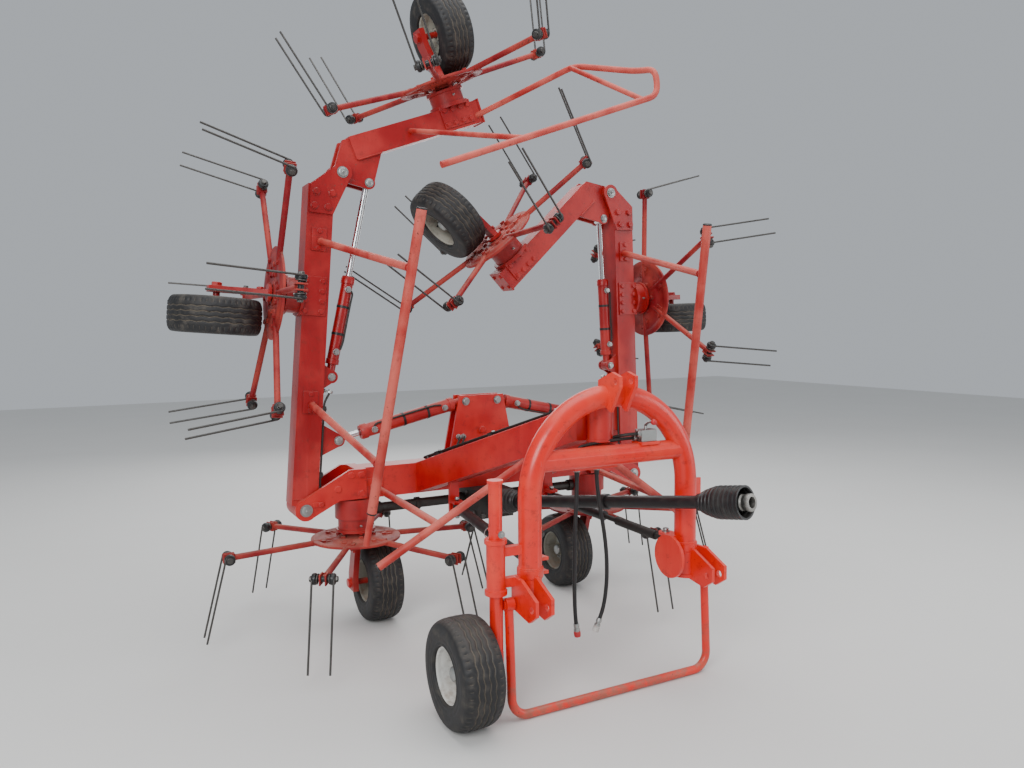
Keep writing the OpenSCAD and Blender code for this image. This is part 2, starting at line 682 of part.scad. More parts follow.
module rotor_centre(side) {
    color("brown") at_centre_rotor(side) rotor(side < 0 ? 0 : 30);
}
module rotor_inner(side) {
    color("brown") at_inner_rotor(side) rotor(side < 0 ? 30 : 0);
}
module rotor_outer(side) {
    color("brown") at_outer_rotor(side) rotor(side < 0 ? 0 : 30);
}

centre_frame();
centre_gearboxes();
main_gearbox();
centre_guards();
driveline();
driveline_yoke();
headstock();
support_leg();
parking_stand();
color("black") hose(hose_a);  // hose_near
color("black") hose(hose_b);  // hose_far
color("crimson") coupler(hose_a);  // coupler_near
color("gainsboro") coupler(hose_b);  // coupler_far
damper_tube(NEAR);  // damper_tube_near
damper_tube(FAR);  // damper_tube_far
damper_rod(NEAR);  // damper_rod_near
damper_rod(FAR);  // damper_rod_far
inner_beam(NEAR);  // inner_beam_near
inner_beam(FAR);  // inner_beam_far
color("firebrick") at_inner_rotor(NEAR) gearbox(-inner_b / 2, -1);  // inner_gearbox_near
color("firebrick") at_inner_rotor(FAR) gearbox(-inner_b / 2, -1);  // inner_gearbox_far
inner_guard(NEAR);  // inner_guard_near
inner_guard(FAR);  // inner_guard_far
outer_beam(NEAR);  // outer_beam_near
outer_beam(FAR);  // outer_beam_far
color("firebrick") at_outer_rotor(NEAR) gearbox(-outer_b / 2, 1);  // outer_gearbox_near
color("firebrick") at_outer_rotor(FAR) gearbox(-outer_b / 2, 1);  // outer_gearbox_far
outer_guard(NEAR);  // outer_guard_near
fold_barrel(NEAR);  // fold_barrel_near
fold_barrel(FAR);  // fold_barrel_far
fold_rod(NEAR);  // fold_rod_near
fold_rod(FAR);  // fold_rod_far
tip_barrel(NEAR);  // tip_barrel_near
tip_barrel(FAR);  // tip_barrel_far
tip_rod(NEAR);  // tip_rod_near
tip_rod(FAR);  // tip_rod_far
rotor_centre(NEAR);  // rotor_centre_near
rotor_centre(FAR);  // rotor_centre_far
rotor_inner(NEAR);  // rotor_inner_near
rotor_inner(FAR);  // rotor_inner_far
rotor_outer(NEAR);  // rotor_outer_near
rotor_outer(FAR);  // rotor_outer_far
color("black") translate([front_x, front_y, tyre_r]) tyre();  // tyre_support
color("silver") translate([front_x, front_y, tyre_r]) rim();  // rim_support
color("black") at_centre_rotor(NEAR) rotor_wheel(-1) tyre();  // tyre_centre_near
color("silver") at_centre_rotor(NEAR) rotor_wheel(-1) rim();  // rim_centre_near
color("black") at_centre_rotor(FAR) rotor_wheel(-1) tyre();  // tyre_centre_far
color("silver") at_centre_rotor(FAR) rotor_wheel(-1) rim();  // rim_centre_far
color("black") at_inner_rotor(NEAR) rotor_wheel(-1) tyre();  // tyre_inner_near
color("silver") at_inner_rotor(NEAR) rotor_wheel(-1) rim();  // rim_inner_near
color("black") at_inner_rotor(FAR) rotor_wheel(-1) tyre();  // tyre_inner_far
color("silver") at_inner_rotor(FAR) rotor_wheel(-1) rim();  // rim_inner_far
color("black") at_outer_rotor(NEAR) rotor_wheel(1) tyre();  // tyre_outer_near
color("silver") at_outer_rotor(NEAR) rotor_wheel(1) rim();  // rim_outer_near
color("black") at_outer_rotor(FAR) rotor_wheel(1) tyre();  // tyre_outer_far
color("silver") at_outer_rotor(FAR) rotor_wheel(1) rim();  // rim_outer_far
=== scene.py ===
"""Hay tedder, folded on its parking stand: looks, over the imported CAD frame. Lengths are metres."""
import bpy
import bmesh
import json
import numpy as np
from mathutils import Matrix
from math import atan2, cos, pi, radians, sin


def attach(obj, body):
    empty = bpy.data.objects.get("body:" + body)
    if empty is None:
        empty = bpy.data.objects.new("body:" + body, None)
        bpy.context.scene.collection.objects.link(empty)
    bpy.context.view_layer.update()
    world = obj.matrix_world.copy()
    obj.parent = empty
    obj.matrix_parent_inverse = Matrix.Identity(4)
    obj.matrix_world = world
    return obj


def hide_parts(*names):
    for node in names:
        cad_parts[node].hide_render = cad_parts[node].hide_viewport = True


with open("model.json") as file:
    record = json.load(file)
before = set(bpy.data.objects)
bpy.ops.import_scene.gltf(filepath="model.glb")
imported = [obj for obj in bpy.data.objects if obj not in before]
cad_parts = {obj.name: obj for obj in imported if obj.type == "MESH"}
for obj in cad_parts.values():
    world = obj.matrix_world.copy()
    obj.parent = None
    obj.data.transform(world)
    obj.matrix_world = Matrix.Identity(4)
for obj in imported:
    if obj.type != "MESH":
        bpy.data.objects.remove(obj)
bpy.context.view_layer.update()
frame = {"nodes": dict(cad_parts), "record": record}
NODES, RECORD = frame["nodes"], frame["record"]
BODY_OF = {n: b for b, nodes in RECORD["behaviour"]["bodies"].items() for n in nodes}

# Sizes repeated from the CAD source
HEAD_Y = -0.745  # where the headstock's arch stands
AXIS_Y = HEAD_Y + 1.2  # where the row of spindles stands
HINGE_X, HINGE_Z = 0.93, 0.62  # the inner wings' hinge pins
ROTOR_X, PITCH = 0.67, 1.25  # the centre spindles, and from one to the next
INNER_LEN, KNUCKLE_H, OUTER_LEN = 1.57, 0.09, 0.8  # the beams, and the outer pin over the inner beam
INNER_ROTOR = ROTOR_X + PITCH - HINGE_X
OUTER_ROTOR = ROTOR_X + 2 * PITCH - HINGE_X - INNER_LEN
FOLD = {"near": 94.5, "far": 92.0}  # degrees an inner wing stands folded
TIP = {"near": 65.0, "far": 132.0}  # and an outer wing against it
SIDE = {"near": -1, "far": 1}
TYRE_R, TYRE_W = 0.202, 0.165
WHEEL_SIDE, WHEEL_BACK, WHEEL_DROP = 0.12, 0.055, HINGE_Z - TYRE_R
DISH_DROP = 0.165  # how far the dish hangs under the beam's axis
# Arm: where its holder sits and how far it drops. Tines: half apart, wire's radius, and their tips
ARM_R, ARM_DROP, TINE_HALF, TINE_R, TIP_R = 0.595, 0.022, 0.036, 0.00475, 0.705
TIP_Z = 0.058 - HINGE_Z
RAIL_IN, RAIL_OUT, RAIL_Z = 0.66, 0.92, 0.12  # the inner guard's rail, from end to end
# The headstock's pivot pin: place, radius, heights it is slimmed between, and by how much
PIVOT_Y, PIVOT_R, PIVOT_Z, PIVOT_SLIM = HEAD_Y + 0.08, 0.030, (0.985, 1.155), 0.975
LEG_X, TIE_Z, SHELF_Y = -0.514, 0.955, -0.676  # support leg, cross tube, and the hoses' shelf
LUG_OUT, EAR_OUT, EAR2_OUT = 0.039, 0.092, 0.075  # outsides of lugs, hinge ears and knuckle ears
HALF, OUTER_HALF, PLATE = 0.06, 0.055, 0.008  # half widths of the beams, and their side plates
FOLD_LUG, TIP_ANCHOR, TIP_LUG = (0.32, 0.15), (0.62, 0.10), (0.115, 0.08)  # the cylinders' pins, (x, z)


def linked(name, data):
    """An object of the data, in the scene."""
    o = bpy.data.objects.new(name, data)
    bpy.context.scene.collection.objects.link(o)
    return o


def stood(o, turn, spot):
    """Gives a camera or a lamp its turn and place."""
    place = np.eye(4)
    place[:3, :3], place[:3, 3] = turn, spot
    o.matrix_world = Matrix(place.tolist())


def set_camera():
    """The photograph's place, turn and lens."""
    yaw, pitch, roll = radians(-28.086), radians(4.138), radians(0.477)
    ahead = np.array([-sin(yaw) * cos(pitch), cos(yaw) * cos(pitch), -sin(pitch)])
    right = np.array([cos(yaw), sin(yaw), 0.0])
    up = np.cross(right, ahead)
    right, up = cos(roll) * right - sin(roll) * up, sin(roll) * right + cos(roll) * up
    data = bpy.data.cameras.new("camera")
    data.lens, data.sensor_width = 28.47, 36.0
    camera = linked("camera", data)
    stood(camera, np.stack([right, up, -ahead], 1), (-1.8235, -3.3367, 1.4653))
    bpy.context.scene.camera = camera


set_camera()


# ---- Materials ----
GRIME, SPLASH, PRIMER, DUST, SOIL = "4A2018", "7A6854", "5B3A30", "B9A08C", "6F6558"


def srgb(code):
    """Linear colour of an sRGB hex value."""
    c = np.array([int(code[i:i + 2], 16) / 255 for i in (0, 2, 4)])
    c = np.where(c <= 0.04045, c / 12.92, ((c + 0.055) / 1.055) ** 2.4)
    return (*[float(v) for v in c], 1.0)


def put(tree, kind, feeds=None, sockets=None, **settings):
    """Adds one node: its settings, its socket values, and links from other nodes' outputs."""
    n = tree.nodes.new(kind)
    for key, value in settings.items():
        setattr(n, key, value)
    for key, value in (sockets or {}).items():
        n.inputs[key].default_value = value
    for key, output in (feeds or {}).items():
        tree.links.new(output, n.inputs[key])
    return n


def fresh(name):
    """A new material with its shader, and its Object coordinates."""
    m = bpy.data.materials.new(name)
    m.use_nodes = True
    t = m.node_tree
    t.nodes.clear()
    shader = put(t, "ShaderNodeBsdfPrincipled")
    put(t, "ShaderNodeOutputMaterial", {"Surface": shader.outputs[0]})
    place = put(t, "ShaderNodeTexCoord")
    return m, t, shader, place


def mask(t, source, low, high, bottom=0.0, top=1.0):
    """A value running smoothly from bottom to top while the source goes from low to high."""
    return put(t, "ShaderNodeMapRange", {"Value": source},
               {"From Min": low, "From Max": high, "To Min": bottom, "To Max": top},
               interpolation_type="SMOOTHSTEP").outputs[0]


def noise(t, place, size_mm, detail=4.0, rough=0.55, stretch=None):
    """Noise whose grains are about size_mm across."""
    source = place.outputs["Object"]
    if stretch:
        source = put(t, "ShaderNodeMapping", {"Vector": source}, {"Scale": stretch}).outputs[0]
    return put(t, "ShaderNodeTexNoise", {"Vector": source},
               {"Scale": 1000.0 / size_mm, "Detail": detail, "Roughness": rough}).outputs["Fac"]


def blend(t, factor, a, b):
    """Mix of two colours, each a hex value or an output."""
    n = put(t, "ShaderNodeMix", data_type="RGBA")
    t.links.new(factor, n.inputs[0])
    for socket, colour in zip([s for s in n.inputs if s.type == "RGBA"], (a, b)):
        if isinstance(colour, str):
            socket.default_value = srgb(colour)
        else:
            t.links.new(colour, socket)
    return [s for s in n.outputs if s.type == "RGBA"][0]


def times(t, a, b, kind="MULTIPLY"):
    """Product of two values, or their sum with kind ADD; each is a number or an output."""
    n = put(t, "ShaderNodeMath", operation=kind)
    for socket, value in zip(n.inputs, (a, b)):
        if isinstance(value, float):
            socket.default_value = value
        else:
            t.links.new(value, socket)
    return n.outputs[0]


def bump(t, shader, height, metres, strength):
    """Tilts the shading as if the surface rose by height times metres."""
    n = put(t, "ShaderNodeBump", {"Height": height}, {"Strength": strength, "Distance": metres})
    t.links.new(n.outputs[0], shader.inputs["Normal"])


def up_facing(t, place):
    """1 where a surface faces up as the machine stands, so dust lies there."""
    parts = put(t, "ShaderNodeSeparateXYZ", {"Vector": place.outputs["Normal"]})
    return mask(t, parts.outputs["Z"], 0.35, 0.95)


def enamel(name, fresh_hex, faded_hex, fade, gloss, chips, dust):
    """Sprayed machine enamel on steel. Even colour with sun-faded clouds a hand wide, rain streaks, grime
    in blots, soil splashed on the lowest 0.3 m, small chips down to dark primer and rust, and a film of
    pale dust on what faces up. gloss is its roughness; the glossier coats get a clear layer."""
    m, t, shader, place = fresh(name)
    cloud = noise(t, place, 260, 3)
    colour = blend(t, mask(t, cloud, 0.60 - 0.4 * fade, 0.84 - 0.36 * fade), fresh_hex, faded_hex)
    streak = noise(t, place, 60, 3, stretch=(1.0, 1.0, 0.12))
    colour = blend(t, mask(t, streak, 0.5, 0.68, 0.0, 0.4), colour, faded_hex)
    grime = noise(t, place, 38, 6, 0.7)
    colour = blend(t, mask(t, grime, 0.52, 0.72, 0.0, 0.38), colour, GRIME)
    height = put(t, "ShaderNodeSeparateXYZ", {"Vector": place.outputs["Object"]}).outputs["Z"]
    splash = times(t, mask(t, height, 0.0, 0.3, 1.0, 0.0), mask(t, grime, 0.38, 0.6, 0.0, 0.55))
    colour = blend(t, splash, colour, SPLASH)
    chip = noise(t, place, 11, 5, 0.62)
    patch = noise(t, place, 140, 2)
    worn = times(t, mask(t, chip, chips, chips + 0.03), mask(t, patch, 0.45, 0.62))
    colour = blend(t, worn, colour, PRIMER)
    film = times(t, up_facing(t, place), mask(t, grime, 0.3, 0.75, 0.25 * dust, dust))
    colour = blend(t, film, colour, DUST)
    t.links.new(colour, shader.inputs["Base Color"])
    rough = times(t, mask(t, cloud, 0.3, 0.75, gloss, gloss + 0.16), times(t, worn, 0.4), "ADD")
    t.links.new(times(t, rough, times(t, film, 0.35), "ADD"), shader.inputs["Roughness"])
    skin = noise(t, place, 9, 2)
    bump(t, shader, times(t, times(t, skin, 0.25), times(t, worn, -1.0), "ADD"), 0.0006, 0.5)
    shader.inputs["Coat Weight"].default_value = max(0.0, 0.6 - 1.4 * gloss)
    shader.inputs["Coat Roughness"].default_value = 0.3
    shader.inputs["Specular IOR Level"].default_value = 0.5 - 1.6 * (gloss - 0.3)
    return m


def bare_metal(name, base_hex, stain_hex, rough, stain, grain_mm=6.0, grain_bump=0.3):
    """Bare or plated steel: metal with fine grain and brown weather stains in the hollows."""
    m, t, shader, place = fresh(name)
    spots = noise(t, place, 24, 6, 0.65)
    stained = mask(t, spots, 0.72 - stain * 0.3, 0.86 - stain * 0.2)
    t.links.new(blend(t, stained, base_hex, stain_hex), shader.inputs["Base Color"])
    t.links.new(mask(t, stained, 0.0, 1.0, 1.0, 0.25), shader.inputs["Metallic"])
    grain = noise(t, place, grain_mm, 4)
    t.links.new(times(t, mask(t, grain, 0.3, 0.7, rough - 0.06, rough + 0.1), times(t, stained, 0.25), "ADD"),
                shader.inputs["Roughness"])
    bump(t, shader, grain, 0.0003, grain_bump)
    return m


def moulded(name, base_hex, dust_hex, rough, dust, grain_mm=5.0, grooves=0.0):
    """Moulded plastic or rubber: dark, matt, with scuffs and dust caught in its grain. grooves is how much
    dry soil lies at the bottom of a tread, from the mesh's own depth."""
    m, t, shader, place = fresh(name)
    cloud = noise(t, place, 45, 5, 0.65)
    caught = mask(t, cloud, 0.45, 0.8, 0.0, dust)
    film = times(t, up_facing(t, place), 0.5 * dust)
    colour = blend(t, caught, base_hex, dust_hex)
    if grooves:
        depth = put(t, "ShaderNodeAttribute", attribute_name="depth").outputs["Fac"]
        soil = times(t, mask(t, depth, 0.35, 0.95), mask(t, cloud, 0.3, 0.6, 0.4 * grooves, grooves))
        colour = blend(t, soil, colour, SOIL)
    t.links.new(blend(t, film, colour, dust_hex), shader.inputs["Base Color"])
    t.links.new(mask(t, cloud, 0.3, 0.8, rough - 0.08, rough + 0.18), shader.inputs["Roughness"])
    bump(t, shader, noise(t, place, grain_mm, 3), 0.0004, 0.35)
    return m


MATERIALS = {
    # Enamels, brightest first: orange on the headstock, crimson frame, deeper wings, chalky rails and rotors
    "red_headstock": enamel("orange_red_enamel", "DE1A0A", "E63A24", 0.45, 0.3, 0.655, 0.15),
    "red_frame": enamel("crimson_enamel", "B4060C", "C82820", 0.45, 0.3, 0.65, 0.18),
    "red_wing": enamel("deep_red_enamel", "94060C", "B02824", 0.5, 0.34, 0.64, 0.2),
    "faded_red": enamel("sun_faded_enamel", "A8221E", "CC5E52", 0.65, 0.42, 0.63, 0.25),
    "rotor_red": enamel("worn_rotor_enamel", "80101a", "A83E36", 0.6, 0.45, 0.60, 0.3),
    "rim_grey": enamel("dull_rim_paint", "8C8C82", "A8A69A", 0.5, 0.5, 0.62, 0.5),
    "rim_light": enamel("pale_rim_paint", "C4C4C0", "DEDCD6", 0.5, 0.4, 0.68, 0.4),
    # Rubber and plastic: near black, told apart by shine; the tyres' grooves show pale soil
    "tyre": moulded("tyre_rubber", "18181A", "6E675E", 0.62, 0.42, 4.0, 0.8),
    "rubber": moulded("hose_rubber", "141416", "4A463F", 0.5, 0.25, 3.0),
    "plastic_black": moulded("black_guard_plastic", "151517", "56524B", 0.42, 0.3, 6.0),
    "coupler_red": moulded("red_coupler_cap", "B81C26", "8E5A50", 0.4, 0.3),
    # Metals: dull yoke, dark tines, pale pins, mirror rods, and a dark rough casting
    "steel": bare_metal("dull_steel", "8E8C88", "5E4A3C", 0.45, 0.5),
    "spring_steel": bare_metal("spring_steel", "5A5856", "3E322A", 0.42, 0.55),
    "zinc": bare_metal("zinc_plated_steel", "A6A8A6", "6E5E4C", 0.42, 0.45),
    "rod_chrome": bare_metal("chromed_rod", "D8DADC", "9A9890", 0.12, 0.12, 3.0, 0.05),
    "cast_grey": bare_metal("cast_iron", "4C4B49", "3A3029", 0.6, 0.6, 3.0, 0.8),
}


# ---- Surfaces ----
CORE = 0.001  # where a turned solid stops short of its axis, to be closed by a flat disc


def quads(nu, nv, wrap_u=False, wrap_v=False):
    """Faces of a grid of nu by nv points, closed round in either direction."""
    u = np.arange(nu if wrap_u else nu - 1)
    v = np.arange(nv if wrap_v else nv - 1)
    u, v = np.meshgrid(u, v, indexing="ij")
    u1, v1 = (u + 1) % nu, (v + 1) % nv
    return np.stack([u * nv + v, u1 * nv + v, u1 * nv + v1, u * nv + v1], -1).reshape(-1, 4)


def solid(v, f):
    """The closed shape with its faces looking out: they are turned round if its volume counts negative."""
    total = sum(float(v[face[0]] @ np.cross(v[face[i]], v[face[i + 1]]))
                for face in f for i in range(1, len(face) - 1))
    return (v, f) if total > 0 else (v, [face[::-1] for face in f])


def unit(v):
    """The direction of a vector."""
    v = np.asarray(v, float)
    return v / np.linalg.norm(v)


def turn_to(axis):
    """3 by 3 turn whose third column is the axis."""
    z = unit(axis)
    x = unit(np.cross([0.0, 0.0, 1.0] if abs(z[2]) < 0.9 else [0.0, 1.0, 0.0], z))
    return np.stack([x, np.cross(z, x), z], 1)


def moved(shape, turn=None, to=(0, 0, 0)):
    """A shape turned, then moved. A mirroring turn also turns its faces round."""
    v, f = shape
    if turn is not None:
        v = v @ np.asarray(turn).T
        if np.linalg.det(turn) < 0:
            f = [face[::-1] for face in f]
    return v + np.asarray(to, float), f


def joined(shapes):
    """One shape from several."""
    vs, fs, n = [], [], 0
    for v, f in shapes:
        vs.append(v)
        fs.extend([[int(i) + n for i in face] for face in f])
        n += len(v)
    return np.concatenate(vs), fs


def turned(profile, n=48, closed=True):
    """Profile points (radius, height) carried round the Z axis in n steps. Where the profile isn't
    closed, a flat disc closes each end that stands off the axis."""
    p = np.asarray(profile, float)
    a = np.linspace(0, 2 * pi, n, endpoint=False)[:, None]
    v = np.stack([p[:, 0] * np.cos(a), p[:, 0] * np.sin(a), p[:, 1] + 0 * a], -1).reshape(-1, 3)
    f = quads(n, len(p), True, closed).tolist()
    if not closed:
        m = len(p)
        f.append([i * m for i in range(n)][::-1])
        f.append([i * m + m - 1 for i in range(n)])
    return solid(v, f)


def softer(profile, steps=1, closed=True):
    """Cuts each corner of a profile at a quarter of its sides, so it runs round smoothly."""
    p = np.asarray(profile, float)
    for _ in range(steps):
        q = np.roll(p, -1, 0) if closed else p[1:]
        a = p if closed else p[:-1]
        cut = np.stack([0.75 * a + 0.25 * q, 0.25 * a + 0.75 * q], 1).reshape(-1, 2)
        p = cut if closed else np.concatenate([p[:1], cut, p[-1:]])
    return p


def knob(profile, n=24, soft=0):
    """A turned solid with flat ends at the heights of the profile's first and last point."""
    (_, low), (_, high) = profile[0], profile[-1]
    return turned(softer([(CORE, low), *profile, (CORE, high)], soft, False), n, False)


def swept(path, radius, sides=12):
    """A circle carried along a path without twisting: each ring's side vector is the last one's, made
    square to the new direction. radius is one value or one per point."""
    p = np.asarray(path, float)
    d = np.gradient(p, axis=0)
    d /= np.linalg.norm(d, axis=1)[:, None]
    side = np.cross(d[0], [0.3, 0.5, 0.8])
    rows = []
    for t in d:
        side = side - t * (side @ t)
        side = side / np.linalg.norm(side)
        rows.append(np.stack([side, np.cross(t, side)]))
    a = np.linspace(0, 2 * pi, sides, endpoint=False)
    ring = np.stack([np.cos(a), np.sin(a)], 1)
    r = np.broadcast_to(np.asarray(radius, float), (len(p),))
    v = p[:, None] + r[:, None, None] * np.einsum("sk,pkc->psc", ring, np.array(rows))
    f = quads(len(p), sides, False, True).tolist()
    f.append(list(range(sides)))
    f.append([(len(p) - 1) * sides + i for i in range(sides)][::-1])
    return solid(v.reshape(-1, 3), f)


def rounded_path(points, bend=0.05, steps=6):
    """Straight runs joined by bends: each corner is replaced by a curve through the points bend away
    from it on both sides, pulled towards the corner."""
    p = np.asarray(points, float)
    out = [p[0]]
    for i in range(1, len(p) - 1):
        a, b = p[i - 1] - p[i], p[i + 1] - p[i]
        r = min(bend, 0.45 * np.linalg.norm(a), 0.45 * np.linalg.norm(b))
        a, b = p[i] + unit(a) * r, p[i] + unit(b) * r
        for k in np.linspace(0, 1, steps):
            out.append((1 - k) ** 2 * a + 2 * k * (1 - k) * p[i] + k ** 2 * b)
    out.append(p[-1])
    return np.array(out)


def ball(radius, n):
    """A sphere."""
    a = np.linspace(-pi / 2 + 0.05, pi / 2 - 0.05, n // 2)
    return turned(np.stack([radius * np.cos(a), radius * np.sin(a)], 1), n, False)


def box(low, high):
    """A block from its lowest to its highest corner."""
    lo, hi = np.minimum(low, high), np.maximum(low, high)
    ends = (lo, hi)
    v = np.array([[ends[i][0], ends[j][1], ends[k][2]] for i in (0, 1) for j in (0, 1) for k in (0, 1)])
    return v, [[0, 1, 3, 2], [4, 6, 7, 5], [0, 4, 5, 1], [2, 3, 7, 6], [0, 2, 6, 4], [1, 5, 7, 3]]


def bolt(size, head=0.0, washer=True, turn=0.0):
    """Hexagon head on a washer, its foot at the origin, pointing up Z. size is the thread diameter.
    The head's rim is chamfered: its top is a smaller twelve-sided ring."""
    across, high = 0.87 * size, head or 0.65 * size
    base, parts = 0.0, []
    if washer:
        r, base = 1.12 * size, 0.14 * size
        parts.append(knob([(r, -0.001), (r, 0.09 * size), (0.92 * r, base)], 12))
    a = np.arange(12) * pi / 6 + turn
    reach = np.where(np.arange(12) % 2 == 0, across * 1.1547, across)
    rings = [(reach, base), (reach, base + high * 0.82), (np.full(12, across * 0.94), base + high),
             (np.full(12, across * 0.5), base + high * 1.03)]
    v = np.concatenate([np.stack([r * np.cos(a), r * np.sin(a), np.full(12, z)], 1) for r, z in rings])
    f = [[j * 12 + i, j * 12 + (i + 1) % 12, (j + 1) * 12 + (i + 1) % 12, (j + 1) * 12 + i]
         for j in range(3) for i in range(12)]
    f.append([i for i in range(12)][::-1])
    f.append([36 + i for i in range(12)])
    parts.append(solid(v, f))
    return joined(parts)


def weld(path, radius=0.004, closed=False):
    """A weld bead along a path: its radius swells and shrinks every 7 mm, like laid drops."""
    p = np.asarray(path, float)
    if closed:
        p = np.concatenate([p, p[:1]])
    length = np.concatenate([[0], np.cumsum(np.linalg.norm(np.diff(p, axis=0), axis=1))])
    n = max(4, int(length[-1] / 0.003))
    s = np.linspace(0, length[-1], n)
    q = np.stack([np.interp(s, length, p[:, k]) for k in range(3)], 1)
    return swept(q, radius * (1 + 0.16 * np.sin(s * 2 * pi / 0.007)), 6)


def ring_weld(centre, axis, radius, bead=0.004, n=40):
    """A weld bead round a tube."""
    a = np.linspace(0, 2 * pi, n, endpoint=False)
    t = turn_to(axis)
    p = np.stack([radius * np.cos(a), radius * np.sin(a), 0 * a], 1) @ t.T + np.asarray(centre)
    return weld(p, bead, True)


# ---- Pieces ----
def placed(name, mesh, material, sharp):
    """An object of the mesh in the scene, shaded smooth but for edges sharper than sharp degrees."""
    mesh.shade_smooth()
    mesh.set_sharp_from_angle(angle=radians(sharp))
    mesh.materials.append(MATERIALS[material])
    return linked(name, mesh)


def rounded(o, width, limit):
    """Rounds off the edges sharper than limit degrees."""
    edge = o.modifiers.new("edge", "BEVEL")
    edge.width, edge.segments, edge.limit_method, edge.angle_limit = width, 2, "ANGLE", radians(limit)
    return edge


def piece(name, shape, material, body, replaces=(), smooth=40.0, bevel=0.0):
    """A piece made here from a shape in the machine's frame, put on its body; the CAD nodes it replaces are
    hidden.
    """
    v, f = shape
    mesh = bpy.data.meshes.new(name)
    mesh.from_pydata(np.asarray(v, float).tolist(), [], f)
    mesh.update()
    o = placed(name, mesh, material, smooth)
    if bevel:
        rounded(o, bevel, 40)
    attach(o, body)
    if replaces:
        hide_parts(*replaces)
    return o


def slim_pivot(bm):
    """Takes 0.8 mm off the pivot pin's radius between its plates, so that its facets turn free in the bore."""
    for v in bm.verts:
        off = np.array([v.co.x, v.co.y - PIVOT_Y])
        if abs(np.hypot(*off) - PIVOT_R) < 2e-4 and PIVOT_Z[0] < v.co.z < PIVOT_Z[1]:
            v.co.x, v.co.y = off[0] * PIVOT_SLIM, PIVOT_Y + off[1] * PIVOT_SLIM


def softened(node, material, width):
    """Stands for a CAD node: its mesh, merged, with its sharp edges rounded off."""
    bm = bmesh.new()
    bm.from_mesh(NODES[node].data)
    bmesh.ops.remove_doubles(bm, verts=bm.verts, dist=2e-5)
    bmesh.ops.dissolve_limit(bm, angle_limit=radians(0.6), verts=bm.verts, edges=bm.edges)
    if node == "headstock":
        slim_pivot(bm)
    mesh = bpy.data.meshes.new(node + "_skin")
    bm.to_mesh(mesh)
    bm.free()
    mesh.materials.clear()
    o = placed(node + "_skin", mesh, material, 38)
    rounded(o, width, 38).harden_normals = True
    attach(o, BODY_OF[node])
    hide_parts(node)


# ---- Places ----
def pitch_turn(degrees):
    """Turn about Y that lifts +X towards +Z."""
    a = radians(degrees)
    return np.array([[cos(a), 0, -sin(a)], [0, 1, 0], [sin(a), 0, cos(a)]])


def wing(k, part):
    """(turn, origin) of a wing part's own frame: x along its beam, z up when it works. The near side
    is mirrored."""
    m = np.diag([SIDE[k], 1.0, 1.0])
    if part == "centre":
        return m, m @ np.array([0, AXIS_Y, HINGE_Z])
    start = np.array([HINGE_X, AXIS_Y, HINGE_Z])
    inner = pitch_turn(FOLD[k])
    if part == "inner":
        return m @ inner, m @ start
    return m @ inner @ pitch_turn(TIP[k]), m @ (start + inner @ np.array([INNER_LEN, 0, KNUCKLE_H]))


def rotor_at(k, part):
    """(turn, origin) of a rotor: its origin is on the beam's axis over its spindle."""
    turn, o = wing(k, part)
    local = {"centre": [ROTOR_X, 0, 0], "inner": [INNER_ROTOR, 0, 0], "outer": [OUTER_ROTOR, 0, -KNUCKLE_H]}
    return turn, o + turn @ np.array(local[part])


def at(place, points):
    """Points of a local frame, in the machine's."""
    turn, o = place
    return np.asarray(points, float) @ turn.T + o


def sat(place, shape):
    """A shape put in a local frame."""
    return moved(shape, *place)


FRAME = (np.eye(3), np.zeros(3))
DOWN = np.diag([1.0, -1, -1])


# ---- CAD nodes with their edges rounded: (material, width of the rounding) ----
SKINS = {
    "centre_frame": ("red_frame", 0.004), "centre_gearboxes": ("red_wing", 0.004),
    "main_gearbox": ("cast_grey", 0.006), "headstock": ("red_headstock", 0.003),
    "support_leg": ("red_headstock", 0.003), "parking_stand": ("red_headstock", 0.003),
    "centre_guards": ("faded_red", 0.003),
}
for k in SIDE:
    SKINS.update({
        f"damper_tube_{k}": ("plastic_black", 0.003), f"damper_rod_{k}": ("cast_grey", 0.003),
        f"inner_beam_{k}": ("red_wing", 0.005), f"inner_gearbox_{k}": ("red_wing", 0.004),
        f"outer_beam_{k}": ("red_wing", 0.005), f"outer_gearbox_{k}": ("red_wing", 0.004),
        f"inner_guard_{k}": ("faded_red", 0.003), f"fold_barrel_{k}": ("red_wing", 0.003),
        f"fold_rod_{k}": ("rod_chrome", 0.002), f"tip_barrel_{k}": ("red_wing", 0.003),
        f"tip_rod_{k}": ("rod_chrome", 0.002),
    })
for node, (material, width) in SKINS.items():
    softened(node, material, width)


# ---- Rotors ----
# Section of the pressed dish, (radius, height): collar, flat, well under the arms, rolled rim, and back
DISH = softer([(0.0302, -0.022), (0.056, -0.022), (0.058, -0.014), (0.118, -0.015), (0.130, -0.023),
               (0.177, -0.024), (0.189, -0.018), (0.2135, -0.019), (0.2149, -0.012), (0.2135, -0.005),
               (0.187, -0.004), (0.175, -0.012), (0.132, -0.011), (0.120, -0.002), (0.058, 0.004),
               (0.054, 0.017), (0.0302, 0.017)])
ARM_Z = -DISH_DROP - 0.011
HOLDER_Z = ARM_Z - ARM_DROP
# What a rotor is made of: piece, material, angle of its sharp edges, and bevel
ROTOR_PIECES = (("arms", "rotor_red", 40, 0.0012), ("tines", "spring_steel", 60, 0),
                ("caps", "plastic_black", 40, 0), ("bolts", "rotor_red", 40, 0),
                ("studs", "spring_steel", 40, 0))


def dished(phase):
    """The dish. Its well rises and sinks by 2.2 mm as the cosine of six times the angle from an arm."""
    v, f = moved(turned(DISH, 96), None, (0, 0, -DISH_DROP))
    r, around = np.hypot(v[:, 0], v[:, 1]), np.arctan2(v[:, 1], v[:, 0]) - radians(phase)
    v[:, 2] += 0.0022 * np.cos(6 * around) * np.clip(1 - np.abs(r - 0.155) / 0.022, 0, 1)
    return v, f


